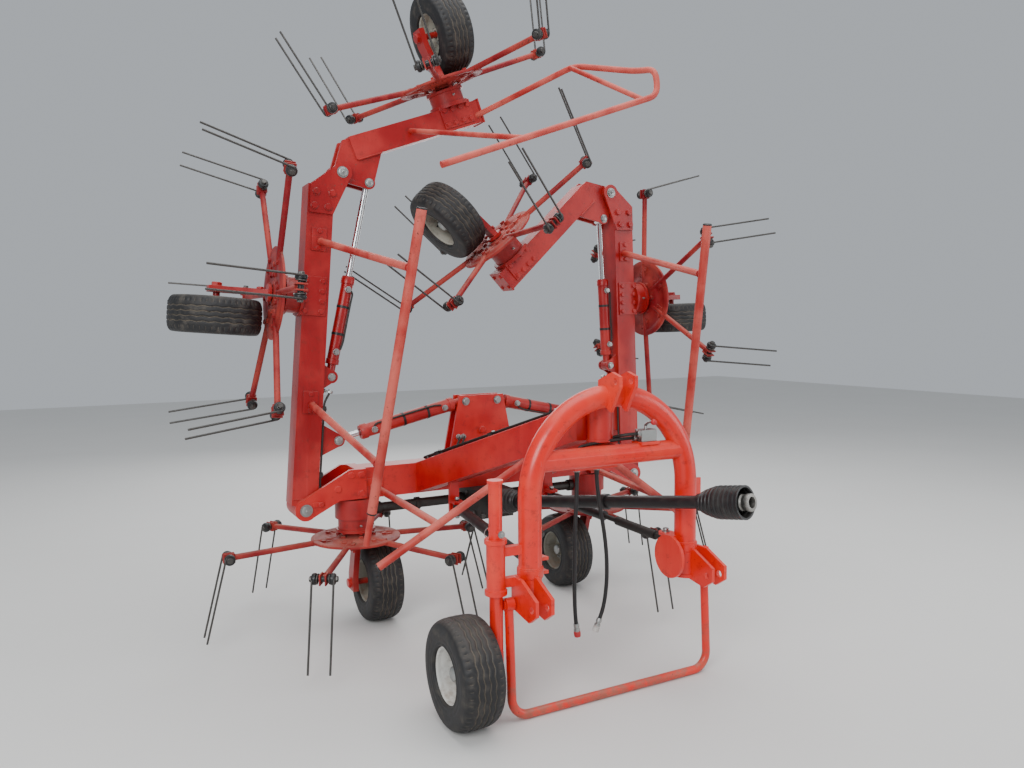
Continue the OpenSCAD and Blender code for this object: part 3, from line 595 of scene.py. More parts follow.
def tine(s):
    """A spring tine: two and a half turns round the holder's pin, then straight down to its tip. The wire's
    middle is a circle of 18.9 mm radius that moves 9.8 mm along the pin each turn."""
    r, gone = 0.0189, atan2(0.094, 0.36)
    turn = np.linspace(2.5 * 2 * pi, 0, 46)
    coil = np.stack([ARM_R + r * np.cos(gone + turn),
                     s * (TINE_HALF + 0.0003 - 0.0098 * turn / (2 * pi) + 0.0095),
                     HOLDER_Z + r * np.sin(gone + turn)], 1)
    tip = np.array([TIP_R, s * (TINE_HALF + 0.01), TIP_Z])
    leg = coil[-1] + np.array([0.04, 0.5, 1.0])[:, None] * (tip - coil[-1])
    return swept(np.concatenate([coil, leg]), TINE_R, 8)


def one_arm():
    """The parts of the arm along x: tube, clamp, holder of two cheeks and a back, tines on a black bush
    between caps with their nuts, and two clamp bolts with their nuts."""
    ends = [[0.09, 0, ARM_Z], [ARM_R - 0.02, 0, HOLDER_Z + 0.001], [ARM_R, 0, HOLDER_Z]]
    parts = {tag: [] for tag, *_ in ROTOR_PIECES}
    tube = swept(ends, [0.014, 0.014, 0.013], 14)
    parts["arms"] += [tube, box([0.122, -0.03, -0.188], [0.176, 0.03, -0.172])]
    cap = knob([(0.0243, -0.012), (0.0252, 0.002), (0.021, 0.009)], 20, 1)
    bush = knob([(0.0125, -0.042), (0.0125, 0.042)], 16)
    for s in (-1, 1):
        out = turn_to([0, s, 0])
        parts["arms"].append(box([ARM_R - 0.026, s * 0.009, HOLDER_Z - 0.023],
                                 [ARM_R + 0.024, s * 0.0155, HOLDER_Z + 0.023]))
        parts["tines"].append(tine(s))
        parts["caps"].append(moved(cap, out, (ARM_R, s * 0.0415, HOLDER_Z)))
        parts["studs"].append(moved(bolt(0.013), out, (ARM_R, s * 0.0502, HOLDER_Z)))
    back = box([ARM_R - 0.028, -0.0155, HOLDER_Z - 0.02], [ARM_R - 0.022, 0.0155, HOLDER_Z + 0.02])
    parts["arms"].append(back)
    parts["caps"].append(moved(bush, turn_to([0, 1, 0]), (ARM_R, 0, HOLDER_Z)))
    for x, s in ((0.134, 1), (0.164, -1)):
        parts["bolts"] += [moved(bolt(0.013), DOWN, (x, s * 0.0215, -0.188)),
                           moved(bolt(0.013), None, (x, s * 0.0215, -0.177))]
    return parts


ARM = one_arm()
for k in SIDE:
    for part, phase in (("centre", 0), ("inner", 30), ("outer", 0)):
        phase = phase if k == "near" else 30 - phase
        name, place = f"rotor_{part}_{k}", rotor_at(k, part)
        shapes = {tag: [] for tag in ARM}
        for i in range(6):
            a = radians(phase + 60 * i)
            turn = np.array([[cos(a), -sin(a), 0], [sin(a), cos(a), 0], [0, 0, 1.0]])
            for tag, parts in ARM.items():
                shapes[tag] += [moved(s, turn) for s in parts]
        for i in range(6):
            a = radians(phase + 30 + 60 * i)
            x, y = 0.085 * cos(a), 0.085 * sin(a)
            shapes["bolts"] += [moved(bolt(0.012), None, (x, y, -DISH_DROP + 0.001)),
                                moved(bolt(0.012), DOWN, (x, y, -DISH_DROP - 0.0145))]
        piece(name + "_dish", sat(place, dished(phase)), "rotor_red", name, [name], 50)
        for tag, material, smooth, bevel in ROTOR_PIECES:
            piece(f"{name}_{tag}", sat(place, joined(shapes[tag])), material, name, smooth=smooth, bevel=bevel)


# ---- Wheels ----
def tyre_shape():
    """Tyre round the X axis. Across it runs bead, sidewall, a crown whose radius falls off as the 3.2th
    power of the distance from the middle, sidewall, bead. Four grooves zigzag round the crown, 24 times a
    turn, and 48 short notches cut each shoulder. Also gives each point's depth in a groove, 0 to 1."""
    half, shoulder = TYRE_W / 2, 0.160
    z = np.linspace(-0.0795, 0.0795, 62)
    crown = np.stack([shoulder + (TYRE_R - shoulder) * (1 - np.abs(z / half) ** 3.2) ** (1 / 3.2), z], 1)
    wall = [(0.1056, 0.040), (0.1056, 0.0765), (0.109, 0.0806), (0.114, 0.0812), (0.118, 0.0792),
            (0.123, 0.0808), (0.136, 0.0822), (0.139, 0.0813), (0.142, 0.0822), (0.152, 0.0822),
            (0.162, 0.0816)]
    left = np.array([(r, -w) for r, w in wall])
    profile = np.concatenate([left, crown, np.array(wall)[::-1]])
    n = 192
    a = np.linspace(0, 2 * pi, n, endpoint=False)[:, None]
    r, x = profile[:, 0][None], profile[:, 1][None]
    tread = np.clip((r - 0.186) / 0.010, 0, 1)
    zig = 0.0026 * (2 * np.abs(((a * 24 / (2 * pi)) % 1) * 2 - 1) - 1)
    deep = np.zeros((n, len(profile)))
    for middle in (-0.033, -0.011, 0.011, 0.033):
        deep = np.maximum(deep, np.clip(1.25 - np.abs(x - middle - zig) / 0.0036, 0, 1))
    notch = np.clip(1.5 - np.abs(((a * 48 / (2 * pi)) % 1) - 0.5) / 0.12, 0, 1)
    notch = notch * np.clip((np.abs(x) - 0.048) / 0.004, 0, 1)
    deep = np.maximum(deep, 0.7 * notch) * tread
    radius = r - 0.0052 * deep
    v = np.stack([x + 0 * a, radius * np.cos(a), radius * np.sin(a)], -1).reshape(-1, 3)
    return solid(v, quads(n, len(profile), True, True).tolist()), deep.reshape(-1)


# Section of the rim, (radius, place across): flange, seat and well outside, then the dished web to the hub
RIM = softer([(0.1046, 0.0684), (0.1046, 0.052), (0.099, 0.046), (0.099, -0.046), (0.1046, -0.052),
              (0.1046, -0.0684), (0.1020, -0.0688), (0.0965, -0.066), (0.0965, -0.050), (0.093, -0.044),
              (0.093, -0.022), (0.088, -0.0165), (0.078, -0.015), (0.066, -0.006), (0.058, -0.003),
              (0.033, -0.003), (0.032, -0.034), (0.0155, -0.034), (0.0155, 0.034), (0.031, 0.034),
              (0.0325, 0.030), (0.033, 0.004), (0.058, 0.004), (0.066, 0.001), (0.078, -0.009),
              (0.088, -0.0105), (0.093, -0.005), (0.093, 0.044), (0.0965, 0.050), (0.0965, 0.066),
              (0.1020, 0.0688)])
FACE_X = turn_to([1, 0, 0])


def rim_shape():
    """The rim round the X axis. Its web waves by 3 mm as the cosine of five times the angle."""
    v, f = turned(RIM, 80)
    r, a = np.hypot(v[:, 0], v[:, 1]), np.arctan2(v[:, 1], v[:, 0])
    web = np.clip(1 - np.abs(r - 0.078) / 0.012, 0, 1) * (np.abs(v[:, 2] + 0.01) < 0.02)
    v[:, 2] += 0.003 * np.cos(5 * a) * web
    return moved((v, f), FACE_X)


def hub_parts():
    """Hub cap, and five studs with a nut on each side of the web."""
    cap = turned(softer([(CORE, 0.052), (0.022, 0.050), (0.0285, 0.044), (0.030, 0.032), (CORE, 0.032)],
                        closed=False), 32, False)
    stud = turned([(CORE, 0), (0.005, 0), (0.005, 0.024), (CORE, 0.0245)], 12, False)
    parts = [moved(cap, FACE_X)]
    for i in range(5):
        b = 2 * pi * (i + 0.5) / 5
        y, z = 0.047 * cos(b), 0.047 * sin(b)
        parts += [moved(bolt(0.014, 0.012), FACE_X, (0.004, y, z)),
                  moved(bolt(0.014, 0.012), turn_to([-1, 0, 0]), (-0.003, y, z)),
                  moved(stud, FACE_X, (0.004, y, z))]
    return joined(parts)


(TYRE, DEPTH), RIM_SHAPE, HUB = tyre_shape(), rim_shape(), hub_parts()
VALVE = swept([(-0.004, 0.086, 0.0), (0.012, 0.083, 0.0), (0.034, 0.080, 0.0)], [0.0055, 0.0045, 0.004], 12)


def wheel(name, place, face, body, paint):
    """One wheel: tyre, rim, and its small parts. face is 1 or -1, where its outside looks along x."""
    spot = (place[0] @ np.diag([face, face, 1.0]), place[1])
    o = piece(f"tyre_{name}_tread", sat(spot, TYRE), "tyre", body, ["tyre_" + name], 50)
    o.data.attributes.new("depth", "FLOAT", "POINT").data.foreach_set("value", DEPTH)
    piece(f"rim_{name}_disc", sat(spot, RIM_SHAPE), paint, body, ["rim_" + name], 50)
    piece(f"hub_{name}_nuts", sat(spot, HUB), "zinc", body)
    piece("valve_" + name, sat(spot, VALVE), "rubber", body)


for k in SIDE:
    for part in ("centre", "inner", "outer"):
        turn, o = rotor_at(k, part)
        out = 1 if part == "outer" else -1
        middle = o + turn @ np.array([out * WHEEL_SIDE, WHEEL_BACK, -WHEEL_DROP])
        wheel(f"{part}_{k}", (turn, middle), out, f"wheel_{part}_{k}", "rim_grey")
wheel("support", (np.eye(3), np.array([-0.63, HEAD_Y + 0.036, TYRE_R])), -1, "wheel_support", "rim_light")


# ---- Near outer guard, one bent tube with two struts ----
front, low = TIP_R + 0.145, -KNUCKLE_H
outer = wing("near", "outer")
x = OUTER_ROTOR
guard = [[x - 0.55, -front, RAIL_Z + 0.02], [x + 0.57, -front, RAIL_Z + 0.02], [x + 0.61, -front + 0.015, 0.03],
         [x + 0.605, -front + 0.15, 0.0], [x + 0.45, -front + 0.37, low - 0.03],
         [OUTER_LEN - 0.04, -0.025, low + 0.02]]
struts = [([x + 0.43, -front + 0.38, low - 0.03], [x + 0.49, -front + 0.005, RAIL_Z + 0.02]),
          ([0.4, -0.025, low - 0.01], [x - 0.15, -front + 0.005, RAIL_Z + 0.02])]
tubes = [swept(rounded_path(guard, 0.05), 0.014, 16)] + [swept([a, b], 0.012, 14) for a, b in struts]
tubes = sat(outer, joined(tubes))
piece("outer_guard_near_tube", tubes, "faded_red", "outer_wing_near", ["outer_guard_near"], 50)


# ---- Hoses and their couplers: the points of each in mm, across and along, and its cap's colour ----
HOSE_Z = [899, 860, 810, 750, 690, 630, 570, 510, 450, 400, 350, 310, 280]
HOSES = {
    "near": ([-118, -118, -120, -123, -127, -130, -132, -133, -133, -132, -130, -127, -123],
             [-676, -676, -677, -678, -679, -680, -681, -681, -680, -679, -678, -677, -676], "coupler_red"),
    "far": ([-24, -24, -20, -12, -1, 9, 17, 22, 23, 20, 13, 3, -9],
            [-676, -676, -677, -678, -679, -680, -680, -679, -678, -677, -676, -675, -674], "rim_light"),
}


def through(points, n=8):
    """A smooth line through the points: between each two, the cubic whose slope at a point is half the
    way between its neighbours."""
    p = np.asarray(points, float)
    q = np.concatenate([[2 * p[0] - p[1]], p, [2 * p[-1] - p[-2]]])
    t = np.linspace(0, 1, n, endpoint=False)[:, None]
    out = [0.5 * (2 * q[i] + (q[i + 1] - q[i - 1]) * t
                  + (2 * q[i - 1] - 5 * q[i] + 4 * q[i + 1] - q[i + 2]) * t ** 2
                  + (3 * q[i] - q[i - 1] - 3 * q[i + 1] + q[i + 2]) * t ** 3) for i in range(1, len(q) - 2)]
    return np.concatenate(out + [p[-1:]])


for k, (across, along, cap) in HOSES.items():
    path = through(np.stack([across, along, HOSE_Z], 1) / 1000)
    hose = piece(f"hose_{k}_line", swept(path, 0.008, 14), "rubber", "headstock", [f"hose_{k}"], 60)
    spot = (turn_to(unit(path[-1] - path[-2])), path[-1])
    body = knob([(0.0105, 0.0004), (0.0115, 0.004), (0.0115, 0.016), (0.009, 0.018), (0.009, 0.022),
                 (0.0125, 0.024), (0.0125, 0.032), (0.010, 0.034)])
    plug = turned(softer([(CORE, 0.031), (0.0105, 0.031), (0.0138, 0.034), (0.0138, 0.050), (0.012, 0.057),
                          (CORE, 0.058)], closed=False), 24, False)
    boot = turned(softer([(0.0081, 0.0), (0.0105, 0.0), (0.0105, 0.012), (0.0088, 0.030), (0.0081, 0.030)]), 20)
    a = piece(f"coupler_{k}_body", sat(spot, body), "zinc", "headstock", [f"coupler_{k}"])
    b = piece(f"coupler_{k}_cap", sat(spot, plug), cap, "headstock")
    piece(f"hose_{k}_boot", moved(boot, DOWN, path[0]), "plastic_black", "headstock")


# ---- Driveline: guard tube with ribbed bells, and the yoke for the tractor's shaft ----
LINE_A, LINE_B = np.array([0, AXIS_Y - 0.23, 0.59]), np.array([0.33, HEAD_Y - 0.42, 0.81])
LINE = float(np.linalg.norm(LINE_B - LINE_A))
TUBE_R, BORE_R = 0.028, 0.0176
line = (turn_to(LINE_B - LINE_A), LINE_A)


def bell(start, end, r0, r1, ribs):
    """A cone of soft plastic 8 mm thick that opens quickly at first, with raised ribs round it."""
    z = np.linspace(0, 1, 6 * ribs + 1)
    r = r0 + (r1 - r0) * np.clip(z * 2.6, 0, 1) ** 0.7
    r = r + 0.0035 * (np.cos(2 * pi * ribs * z) > 0.2)
    z = start + (end - start) * z
    return turned(np.concatenate([np.stack([r, z], 1), np.stack([r - 0.008, z], 1)[::-2]]), 48)


guard = [bell(LINE - 0.215, LINE - 0.028, 0.036, 0.061, 9), bell(0.150, 0.004, 0.036, 0.057, 7),
         turned([(0.0245, 0.09), (TUBE_R, 0.09), (TUBE_R, LINE * 0.5), (0.0262, LINE * 0.5 + 0.001),
                 (0.0262, LINE - 0.18), (0.0245, LINE - 0.18)], 40)]
guard += [turned([(0.025, z), (0.034, z), (0.035, z + 0.01), (0.034, z + 0.03), (0.025, z + 0.03)], 40)
          for z in (0.135, LINE - 0.235, LINE * 0.5 - 0.02)]
piece("driveline_guard", sat(line, joined(guard)), "plastic_black", "frame", ["driveline"], 35)
# The yoke's bore has six splines: its wall stands 1.4 mm back where the cosine of six times the angle is
# positive
yoke = turned(softer([(BORE_R, -0.0897), (0.030, -0.0897), (0.0335, -0.084), (0.0335, -0.040),
                      (0.027, -0.034), (0.027, -0.026), (0.033, -0.022), (0.0338, -0.004), (0.0325, -0.0005),
                      (BORE_R, -0.0005)]), 72)
a = np.linspace(0, 2 * pi, 73)[:-1]
spline = BORE_R + 0.0014 * (np.cos(6 * a) > 0)
bore = np.hypot(yoke[0][:, 0], yoke[0][:, 1]) < 0.0185
yoke[0][bore, :2] *= (np.repeat(spline, len(yoke[0]) // 72) / BORE_R)[bore][:, None]
forks = [box([s * 0.014, -0.016, -0.15], [s * 0.030, 0.016, -0.088]) for s in (-1, 1)]
yoke = sat((line[0], LINE_B), joined([yoke] + forks))
piece("driveline_yoke_splined", yoke, "steel", "frame", ["driveline_yoke"], 35)


# ---- Small parts: kept here by kind and body, then made one piece each ----
KINDS = {"welds": (None, 0), "bolts": (None, 0), "pins": ("zinc", 0), "plates": (None, 0.0015),
         "plugs": ("plastic_black", 0), "pipes": ("cast_grey", 0)}  # material or the body's own, bevel
KEPT = {kind: {} for kind in KINDS}
HEADSTOCK, MIDDLE = ("headstock", *FRAME), ("frame", *FRAME)


def add(where, kind, *shapes):
    """Keeps shapes for a piece of that kind. where is the body, and the turn and origin of their frame."""
    body, *place = where
    KEPT[kind].setdefault(body, []).extend(sat(place, s) for s in shapes)


def hexes(spots, way, size=0.012, head=0.0):
    """Bolt heads at several spots, all looking the same way."""
    return [moved(bolt(size, head, turn=0.4 * i), turn_to(way), p) for i, p in enumerate(spots)]


def pin_head(p, way, r, high=0.008):
    """A turned pin end with a chamfer, a groove and a washer under it."""
    profile = [(r * 1.35, 0), (r * 1.35, 0.003), (r, 0.003), (r, high * 0.55), (r * 0.9, high * 0.6),
               (r * 0.9, high * 0.75), (r, high * 0.8), (r, high * 1.1), (r * 0.86, high * 1.3)]
    return moved(knob(profile, 32), turn_to(way), p)


def nipple(p, way):
    """A grease nipple: foot, waist and ball."""
    profile = [(CORE, 0), (0.0055, 0), (0.0055, 0.005), (0.003, 0.006), (0.0028, 0.010), (0.0038, 0.012),
               (0.003, 0.0155), (CORE, 0.016)]
    return moved(turned(profile, 14, False), turn_to(way), p)


def line_weld(a, b, r=0.0035):
    """A straight weld bead from a to b."""
    return weld(np.linspace(a, b, 8), r)


def end_plug(r, rim, p, way, n):
    """A plug in a tube's end: a rim as wide as the tube, and a low cone."""
    return moved(knob([(r, -0.001), (r, rim), (r - 0.0038, rim + 0.003)], n), turn_to(way), p)


def gearbox_plate(beam, y, x, z, half, long, xs, zs):
    """A plate on side y of a beam, long to each side of x, with eight bolts at xs. zs: foot, bolts, top."""
    face = y * (half + PLATE)
    add(beam, "plates", box([x - long, y * half, z + zs[0]], [x + long, face, z + zs[3]]))
    add(beam, "bolts", *hexes([(x + dx, face, z + dz) for dx in xs for dz in zs[1:3]], (0, y, 0)))


def wing_trim(beam):
    """Inner beam: ear bolts, gearbox plates, pipes with clamps, and the front guard's brackets and welds."""
    for y in (-1, 1):
        side, lane = (0, y, 0), y * 0.051
        ears = ((1.40, -0.032), (1.40, 0.032), (1.465, -0.026), (1.465, 0.048))
        add(beam, "bolts", *hexes([(x, y * EAR2_OUT, z) for x, z in ears], side, 0.016))
        gearbox_plate(beam, y, INNER_ROTOR, 0, HALF, 0.09, (-0.07, -0.023, 0.023, 0.07),
                      (-0.072, -0.05, 0.026, 0.046))
        for x, half in ((FOLD_LUG[0], 0.08), (TIP_ANCHOR[0], 0.06)):
            ends = [(x + dx, y * LUG_OUT, HALF + 0.002) for dx in (-half, half)]
            add(beam, "welds", line_weld(*ends))
        add(beam, "welds", line_weld([0.047, y * HALF, -HALF + 0.004], [0.047, y * HALF, HALF - 0.004], 0.004),
            line_weld([1.372, y * HALF, -0.05], [1.372, y * HALF, 0.054]))
        pipe = rounded_path([(0.085, lane, HALF + 0.02), (0.11, lane, HALF + 0.008), (0.50, lane, HALF + 0.008),
                             (0.545, lane, HALF + 0.03)], 0.02)
        add(beam, "pipes", swept(pipe, 0.005, 10))
        nut = bolt(0.013, 0.014, False)
        add(beam, "pins", pin_head((FOLD_LUG[0], y * LUG_OUT, FOLD_LUG[1]), side, 0.016),
            *[moved(nut, turn_to(pipe[i] - pipe[j]), pipe[i]) for i, j in ((0, 1), (-1, -2))])
        for x in (0.16, 0.47):
            add(beam, "plugs", moved(box([-0.013, -0.012, 0], [0.013, 0.012, 0.016]), None, (x, lane, HALF)))
            add(beam, "pins", moved(bolt(0.007), None, (x, lane, HALF + 0.016)))

    for x in (0.50, INNER_ROTOR + 0.26):
        add(beam, "plates", box([x - 0.052, -HALF - PLATE, -0.034], [x + 0.052, -HALF, 0.034]))
        add(beam, "bolts", *hexes([(x + dx, -HALF - PLATE, 0) for dx in (-0.038, 0.038)], (0, -1, 0), 0.011))
    a, b = np.array([0.1, -RAIL_IN, RAIL_Z]), np.array([INNER_ROTOR + 0.31, -RAIL_OUT, RAIL_Z + 0.04])
    add(beam, "plugs", end_plug(0.0208, 0.004, a, a - b, 24), end_plug(0.0208, 0.004, b, b - a, 24))
    for a, b in (([0.5, -0.03, 0], [0.3, -RAIL_IN - 0.043, RAIL_Z + 0.007]),
                 ([INNER_ROTOR + 0.26, -0.03, 0], [INNER_ROTOR + 0.09, -RAIL_OUT + 0.048, RAIL_Z + 0.033])):
        a, b = np.array(a), np.array(b)
        at_beam = a + (b - a) * (HALF + PLATE - 0.03) / abs((b - a)[1])
        add(beam, "welds", *[ring_weld(p, b - a, 0.017, 0.003) for p in (at_beam, b - unit(b - a) * 0.02)])


def tip_trim(beam):
    """Outer beam: gearbox plates, knuckle and lug pins, side plate welds, end bolts."""
    z = -KNUCKLE_H
    for y in (-1, 1):
        side = (0, y, 0)
        gearbox_plate(beam, y, OUTER_ROTOR, z, OUTER_HALF, 0.085, (-0.065, -0.022, 0.022, 0.065),
                      (-0.07, -0.045, 0.022, 0.04))
        ends = [(OUTER_LEN + 0.008, y * 0.035, z + dz) for dz in (-0.035, 0.035)]
        add(beam, "bolts", *hexes(ends, (1, 0, 0), 0.01))
        add(beam, "pins", pin_head((0, y * EAR2_OUT, 0), side, 0.0195),
            nipple((0, y * (EAR2_OUT + 0.0103), 0), side),
            pin_head((TIP_LUG[0], y * 0.046, TIP_LUG[1]), side, 0.016))
        add(beam, "welds", line_weld([0.10, y * 0.057, z + 0.057], [0.225, y * 0.057, z + 0.057]))


def cylinder_trim(body, a, b, r, to, pin):
    """A barrel of radius r from pin a towards pin b, to long: gland, base ring, ports, bands, pin heads, and
    the pipe from the far port back along it. pin is its pin's radius."""
    way = unit(b - a)
    barrel, ports = (body, np.stack([np.cross([0, 1, 0], way), [0, 1, 0], way], 1), a), (0.12, to - 0.06)
    add(barrel, "plates",
        turned([(r - 0.004, to - 0.034), (r + 0.004, to - 0.032), (r + 0.004, to - 0.004), (r + 0.001, to),
                (r + 0.001, to + 0.004), (0.017, to + 0.004), (0.017, to - 0.004)], 40),
        turned([(r - 0.004, 0.059), (r + 0.003, 0.061), (r + 0.003, 0.085), (r - 0.004, 0.087)], 40),
        *[box([-0.013, -r - 0.010, z - 0.013], [0.013, -r + 0.006, z + 0.013]) for z in ports])
    add(barrel, "pins", *hexes([(0, -r - 0.010, z) for z in ports], (0, -1, 0), 0.014, 0.011))
    pipe = [(0.013, -r - 0.004, to - 0.06), (0.026, -r - 0.004, to - 0.075), (0.026, -r + 0.002, to - 0.12),
            (0.026, -r + 0.002, 0.17), (0.018, -r - 0.004, 0.135)]
    add(barrel, "pipes", swept(rounded_path(pipe, 0.02), 0.0045, 10))
    for z in (0.2, 0.33):
        band = [(r - 0.002, z), (r + 0.0015, z), (r + 0.0015, z + 0.012), (r - 0.002, z + 0.012)]
        add(barrel, "plugs", turned(band, 40))
    add((body, np.eye(3), a), "pins", *[pin_head((0, y * 0.0395, 0), (0, y, 0), pin, 0.010) for y in (-1, 1)])


def lug(k, part, p):
    """Place of a cylinder's pin on a wing."""
    return at(wing(k, part), [[p[0], 0, p[1]]])[0]


for k, s in SIDE.items():
    inner, outer = ((f"{part}_wing_{k}", *wing(k, part)) for part in ("inner", "outer"))
    centre = ("frame", *wing(k, "centre"))
    wing_trim(inner)
    tip_trim(outer)
    foot = np.array([s * 0.09, AXIS_Y, 1.08])
    cylinder_trim(f"fold_barrel_{k}", foot, lug(k, "inner", FOLD_LUG), 0.033, 0.56, 0.0155)
    cylinder_trim(f"tip_barrel_{k}", lug(k, "inner", TIP_ANCHOR), lug(k, "outer", TIP_LUG), 0.028, 0.48, 0.0135)

    # Frame: hinge lock plates and pins, beam bolts and welds, guard bracket and plug, gearbox caps
    for y in (-1, 1):
        side, ear, lock = (0, y, 0), y * EAR_OUT, y * (EAR_OUT + 0.006)
        spots = [(x, ear, z) for x, z in ((0.665, 0.145), (0.715, 0.145), (0.665, 0.055), (0.78, 0.085))]
        add(centre, "plates", box([HINGE_X - 0.085, ear, 0.012], [HINGE_X - 0.028, lock, 0.034]))
        add(centre, "bolts", *hexes([(HINGE_X - 0.068, lock, 0.023)], side), *hexes(spots, side, 0.016))
        add(centre, "welds", line_weld([0.643, y * 0.062, 0.024], [0.643, y * 0.062, 0.166], 0.004))
        add(inner, "pins", pin_head((0, y * (EAR_OUT + 0.0015), 0), side, 0.0215, 0.007),
            nipple((0, y * (EAR_OUT + 0.0105), 0), side))
    add(MIDDLE, "plates", box([s * 0.548, AXIS_Y - 0.068, 0.664], [s * 0.652, AXIS_Y - 0.060, 0.736]))
    add(MIDDLE, "bolts", *hexes([(s * x, AXIS_Y - 0.068, 0.7) for x in (0.562, 0.638)], (0, -1, 0), 0.011))
    a, b = np.array([s * 0.8, HEAD_Y + 0.48, 0.5]), np.array([s * 0.11, HEAD_Y + 0.33, 0.95])
    add(MIDDLE, "plugs", end_plug(0.0178, 0.003, a, a - b, 20))
    cap = knob([(0.012, 0), (0.012, 0.004), (0.009, 0.010)], 20)
    for turn, z in ((None, 0.641), (DOWN, 0.559)):
        add(MIDDLE, "pins", moved(cap, turn, (s * 0.262, AXIS_Y - 0.3, z)))

    # Wheel legs: the nut behind the axle, two bolts, and the gearbox's grease nipple
    for part, (body, *_) in (("centre", centre), ("inner", inner), ("outer", outer)):
        spot, out = (body, *rotor_at(k, part)), (1 if part == "outer" else -1)
        add(spot, "bolts",
            moved(bolt(0.024, 0.014), turn_to((-out, 0, 0)), (-out * 0.014, WHEEL_BACK, -WHEEL_DROP)),
            *hexes([(-out * 0.0142, y, -DISH_DROP - 0.075) for y in (-0.014, 0.018)], (-out, 0, 0)))
        add(spot, "pins", nipple((0, -0.0835, -0.105), (0, -1, 0)))

    # Headstock: welds of the arch's foot, cross tube and clevis ears, and the dampers' pins
    add(HEADSTOCK, "welds", *[ring_weld((s * 0.37, HEAD_Y, z), (0, 0, 1), 0.045) for z in (0.564, 0.53)],
        ring_weld((s * 0.345, HEAD_Y, TIE_Z), (1, 0, 0), 0.041, 0.005))
    for x in (s * 0.405 - 0.04, s * 0.405 + 0.04):
        add(HEADSTOCK, "welds", line_weld([x, HEAD_Y - 0.035, 0.54], [x, HEAD_Y - 0.058, 0.54]))
    x, y = s * 0.33, HEAD_Y + 0.075
    add(HEADSTOCK, "pins", pin_head((x, y, 0.592), (0, 0, 1), 0.013, 0.012),
        moved(bolt(0.018), DOWN, (x, y, 0.528)))

# Headstock, middle: swivel pin, leg pin with its ring
add(HEADSTOCK, "pins", moved(bolt(0.026), None, (0, PIVOT_Y, 1.171)), nipple((0.03, PIVOT_Y, 1.171), (0, 0, 1)),
    pin_head((LEG_X, HEAD_Y - 0.046, 0.716), (0, -1, 0), 0.010, 0.010))
add(HEADSTOCK, "welds", *[ring_weld((LEG_X, HEAD_Y, z), (0, 0, 1), 0.036, 0.003) for z in (0.501, 0.673)])
a = np.linspace(0, 2 * pi, 28, endpoint=False)
ring = np.stack([LEG_X + 0.019 * np.cos(a), np.full(28, HEAD_Y + 0.052), 0.700 + 0.019 * np.sin(a)], 1)
add(HEADSTOCK, "pins", swept(np.concatenate([ring, ring[:1]]), 0.0018, 8))

# Tap block with its lever on the cross tube, and its pipes from the hoses' shelf
add(HEADSTOCK, "plates", box([0.12, HEAD_Y - 0.035, TIE_Z + 0.032], [0.21, HEAD_Y + 0.035, TIE_Z + 0.044]))
tap = box([0.128, HEAD_Y - 0.024, TIE_Z + 0.044], [0.202, HEAD_Y + 0.024, TIE_Z + 0.092])
lever = swept([(0.165, HEAD_Y, TIE_Z + 0.092), (0.165, HEAD_Y, TIE_Z + 0.11),
               (0.150, HEAD_Y - 0.04, TIE_Z + 0.125), (0.145, HEAD_Y - 0.07, TIE_Z + 0.128)],
              [0.006, 0.006, 0.0045, 0.0045])
piece("tap_block", joined([tap, lever]), "zinc", "headstock", bevel=0.002)
grip = moved(ball(0.012, 20), None, (0.144, HEAD_Y - 0.078, TIE_Z + 0.129))
piece("tap_knob", grip, "coupler_red", "headstock", smooth=80)
for x, z, port_y, port_z in ((-0.118, 0.985, 0.014, 0.058), (-0.024, 1.003, -0.012, 0.078)):
    end = (0.126, HEAD_Y + port_y, TIE_Z + port_z)
    run = [(x, SHELF_Y, 0.914), (x, SHELF_Y, z), (x + 0.06, -0.69, z + 0.012), (0.06, end[1], end[2]), end]
    add(HEADSTOCK, "pipes", swept(rounded_path(run, 0.03), 0.0065))
    add(HEADSTOCK, "pins", moved(bolt(0.017, 0.012), None, (x, SHELF_Y, 0.911)),
        moved(bolt(0.015, 0.014, False), turn_to((-1, 0, 0)), end),
        moved(bolt(0.015, 0.010, False), DOWN, (x, SHELF_Y, 0.8988)))

# Pipes along the spread beams to the fold cylinders' bracket, with their clamps
for s in SIDE.values():
    start, stop = np.array([s * 0.048, HEAD_Y + 0.16, 1.132]), np.array([s * 0.332, AXIS_Y - 0.075, 0.801])
    way = unit(stop - start)
    up = unit(np.cross(np.cross(way, [0, 0, 1]), way))
    for side in (-0.013, 0.013):
        off, port, front = up * 0.0145 + np.array([side, 0, 0]), s * (0.12 + side), AXIS_Y - 0.057
        path = [start + off - way * 0.03 + up * 0.02, start + off, stop + off,
                [s * 0.27, AXIS_Y - 0.05 + side, 0.802], [s * (0.16 + side), front, 0.802],
                [s * (0.14 + side), front, 0.85], [port, front, 0.90], [port, AXIS_Y - 0.04, 0.90]]
        add(MIDDLE, "pipes", swept(rounded_path(path, 0.03), 0.005, 10))
        add(MIDDLE, "pins", moved(bolt(0.013, 0.012), turn_to((0, -1, 0)), (port, AXIS_Y - LUG_OUT, 0.90)))
    for share in (0.12, 0.5, 0.88):
        spot = ("frame", np.stack([np.cross(way, up), way, up], 1), start + share * (stop - start))
        add(spot, "plugs", box([-0.026, -0.013, 0.001], [0.026, 0.013, 0.021]))
        add(spot, "pins", moved(bolt(0.008), None, (0, 0, 0.021)))

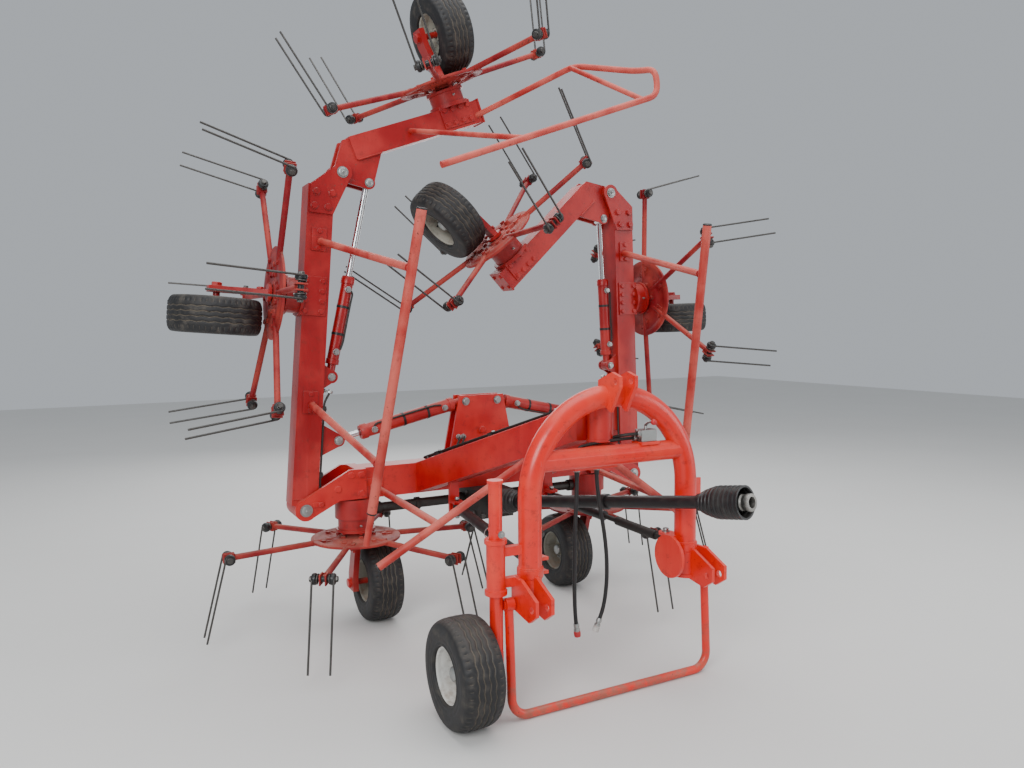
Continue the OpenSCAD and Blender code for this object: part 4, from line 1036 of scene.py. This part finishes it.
# Frame, middle: pivot tube welds, cylinder bracket with its spacer, main gearbox bolts, drive tube collars
add(MIDDLE, "welds", *[ring_weld((0, PIVOT_Y, z), (0, 0, 1), 0.0525, 0.004) for z in (1.005, 1.141)])
for y in (-1, 1):
    out = AXIS_Y + y * LUG_OUT
    add(MIDDLE, "welds", line_weld([-0.186, out, 0.792], [0.186, out, 0.792], 0.004))
    add(MIDDLE, "bolts", moved(bolt(0.018), turn_to((0, y, 0)), (0, out, 0.93)))
spacer = knob([(0.016, -0.027), (0.016, 0.027)], 28)
add(MIDDLE, "plates", moved(spacer, turn_to((0, 1, 0)), (0, AXIS_Y, 0.93)))
cover = ((-0.078, 0.517), (-0.078, 0.624), (0, 0.517), (0.078, 0.517), (0.078, 0.624))
heads = hexes([(x, AXIS_Y - 0.2005, z) for x, z in cover], (0, -1, 0))
for s in (-1, 1):
    spots = [(s * 0.0955, AXIS_Y + y, z) for y in (-0.15, -0.05) for z in (0.525, 0.61)]
    heads += hexes(spots, (s, 0, 0), 0.011)
piece("main_gearbox_bolts", joined(heads), "spring_steel", "frame")
collar = turned([(0.0235, -0.012), (0.031, -0.012), (0.031, 0.012), (0.0235, 0.012)], 36)
collars = [moved(collar, FACE_X, (s * x, AXIS_Y, 0.575)) for s in (-1, 1) for x in (0.115, 0.35, 0.555)]
piece("drive_tube_collars", joined(collars), "cast_grey", "frame", bevel=0.0015)

for kind, (material, soft) in KINDS.items():
    for body, shapes in KEPT[kind].items():
        enamelled = "red_" + body if body in ("headstock", "frame") else "red_wing"
        piece(f"{body}_{kind}", joined(shapes), material or enamelled, body, bevel=soft)


# ---- Floor and light ----
FLOOR = 14.0  # half its width
# Lamps: name, place, what it looks at, width, watts
LAMPS = (("sky", (0.5, -0.5, 6.5), (0, 0, 1), 6.0, 300), ("key", (-4.5, -4.5, 4.0), (0, 0, 1.4), 3.0, 280),
         ("fill", (5.0, -3.5, 2.0), (0, 0, 1.2), 3.0, 90), ("edge", (1.5, 5.0, 3.5), (0, 0, 1.6), 4.0, 110))


def studio():
    """Pale floor under the wheels and an even pale sky; a soft sheet overhead, a large key on the left, a
    low fill on the right, and a lamp behind for the edges."""
    mesh = bpy.data.meshes.new("floor")
    corners = [(-FLOOR, -FLOOR, 0), (FLOOR, -FLOOR, 0), (FLOOR, FLOOR, 0), (-FLOOR, FLOOR, 0)]
    mesh.from_pydata(corners, [], [(0, 1, 2, 3)])
    floor = linked("floor", mesh)
    m, t, shader, place = fresh("pale_floor")
    t.links.new(blend(t, noise(t, place, 900, 3), "D8D7D4", "DEDDDA"), shader.inputs["Base Color"])
    shader.inputs["Roughness"].default_value = 0.85
    mesh.materials.append(m)
    world = bpy.data.worlds.new("studio")
    bpy.context.scene.world = world
    world.use_nodes = True
    back = world.node_tree.nodes["Background"]
    back.inputs[0].default_value, back.inputs[1].default_value = srgb("DDE3EA"), 0.62
    for name, spot, aim, width, power in LAMPS:
        data = bpy.data.lights.new(name, "AREA")
        data.size, data.energy = width, power
        lamp = linked(name, data)
        stood(lamp, turn_to(np.array(spot, float) - np.array(aim, float)), spot)


studio()
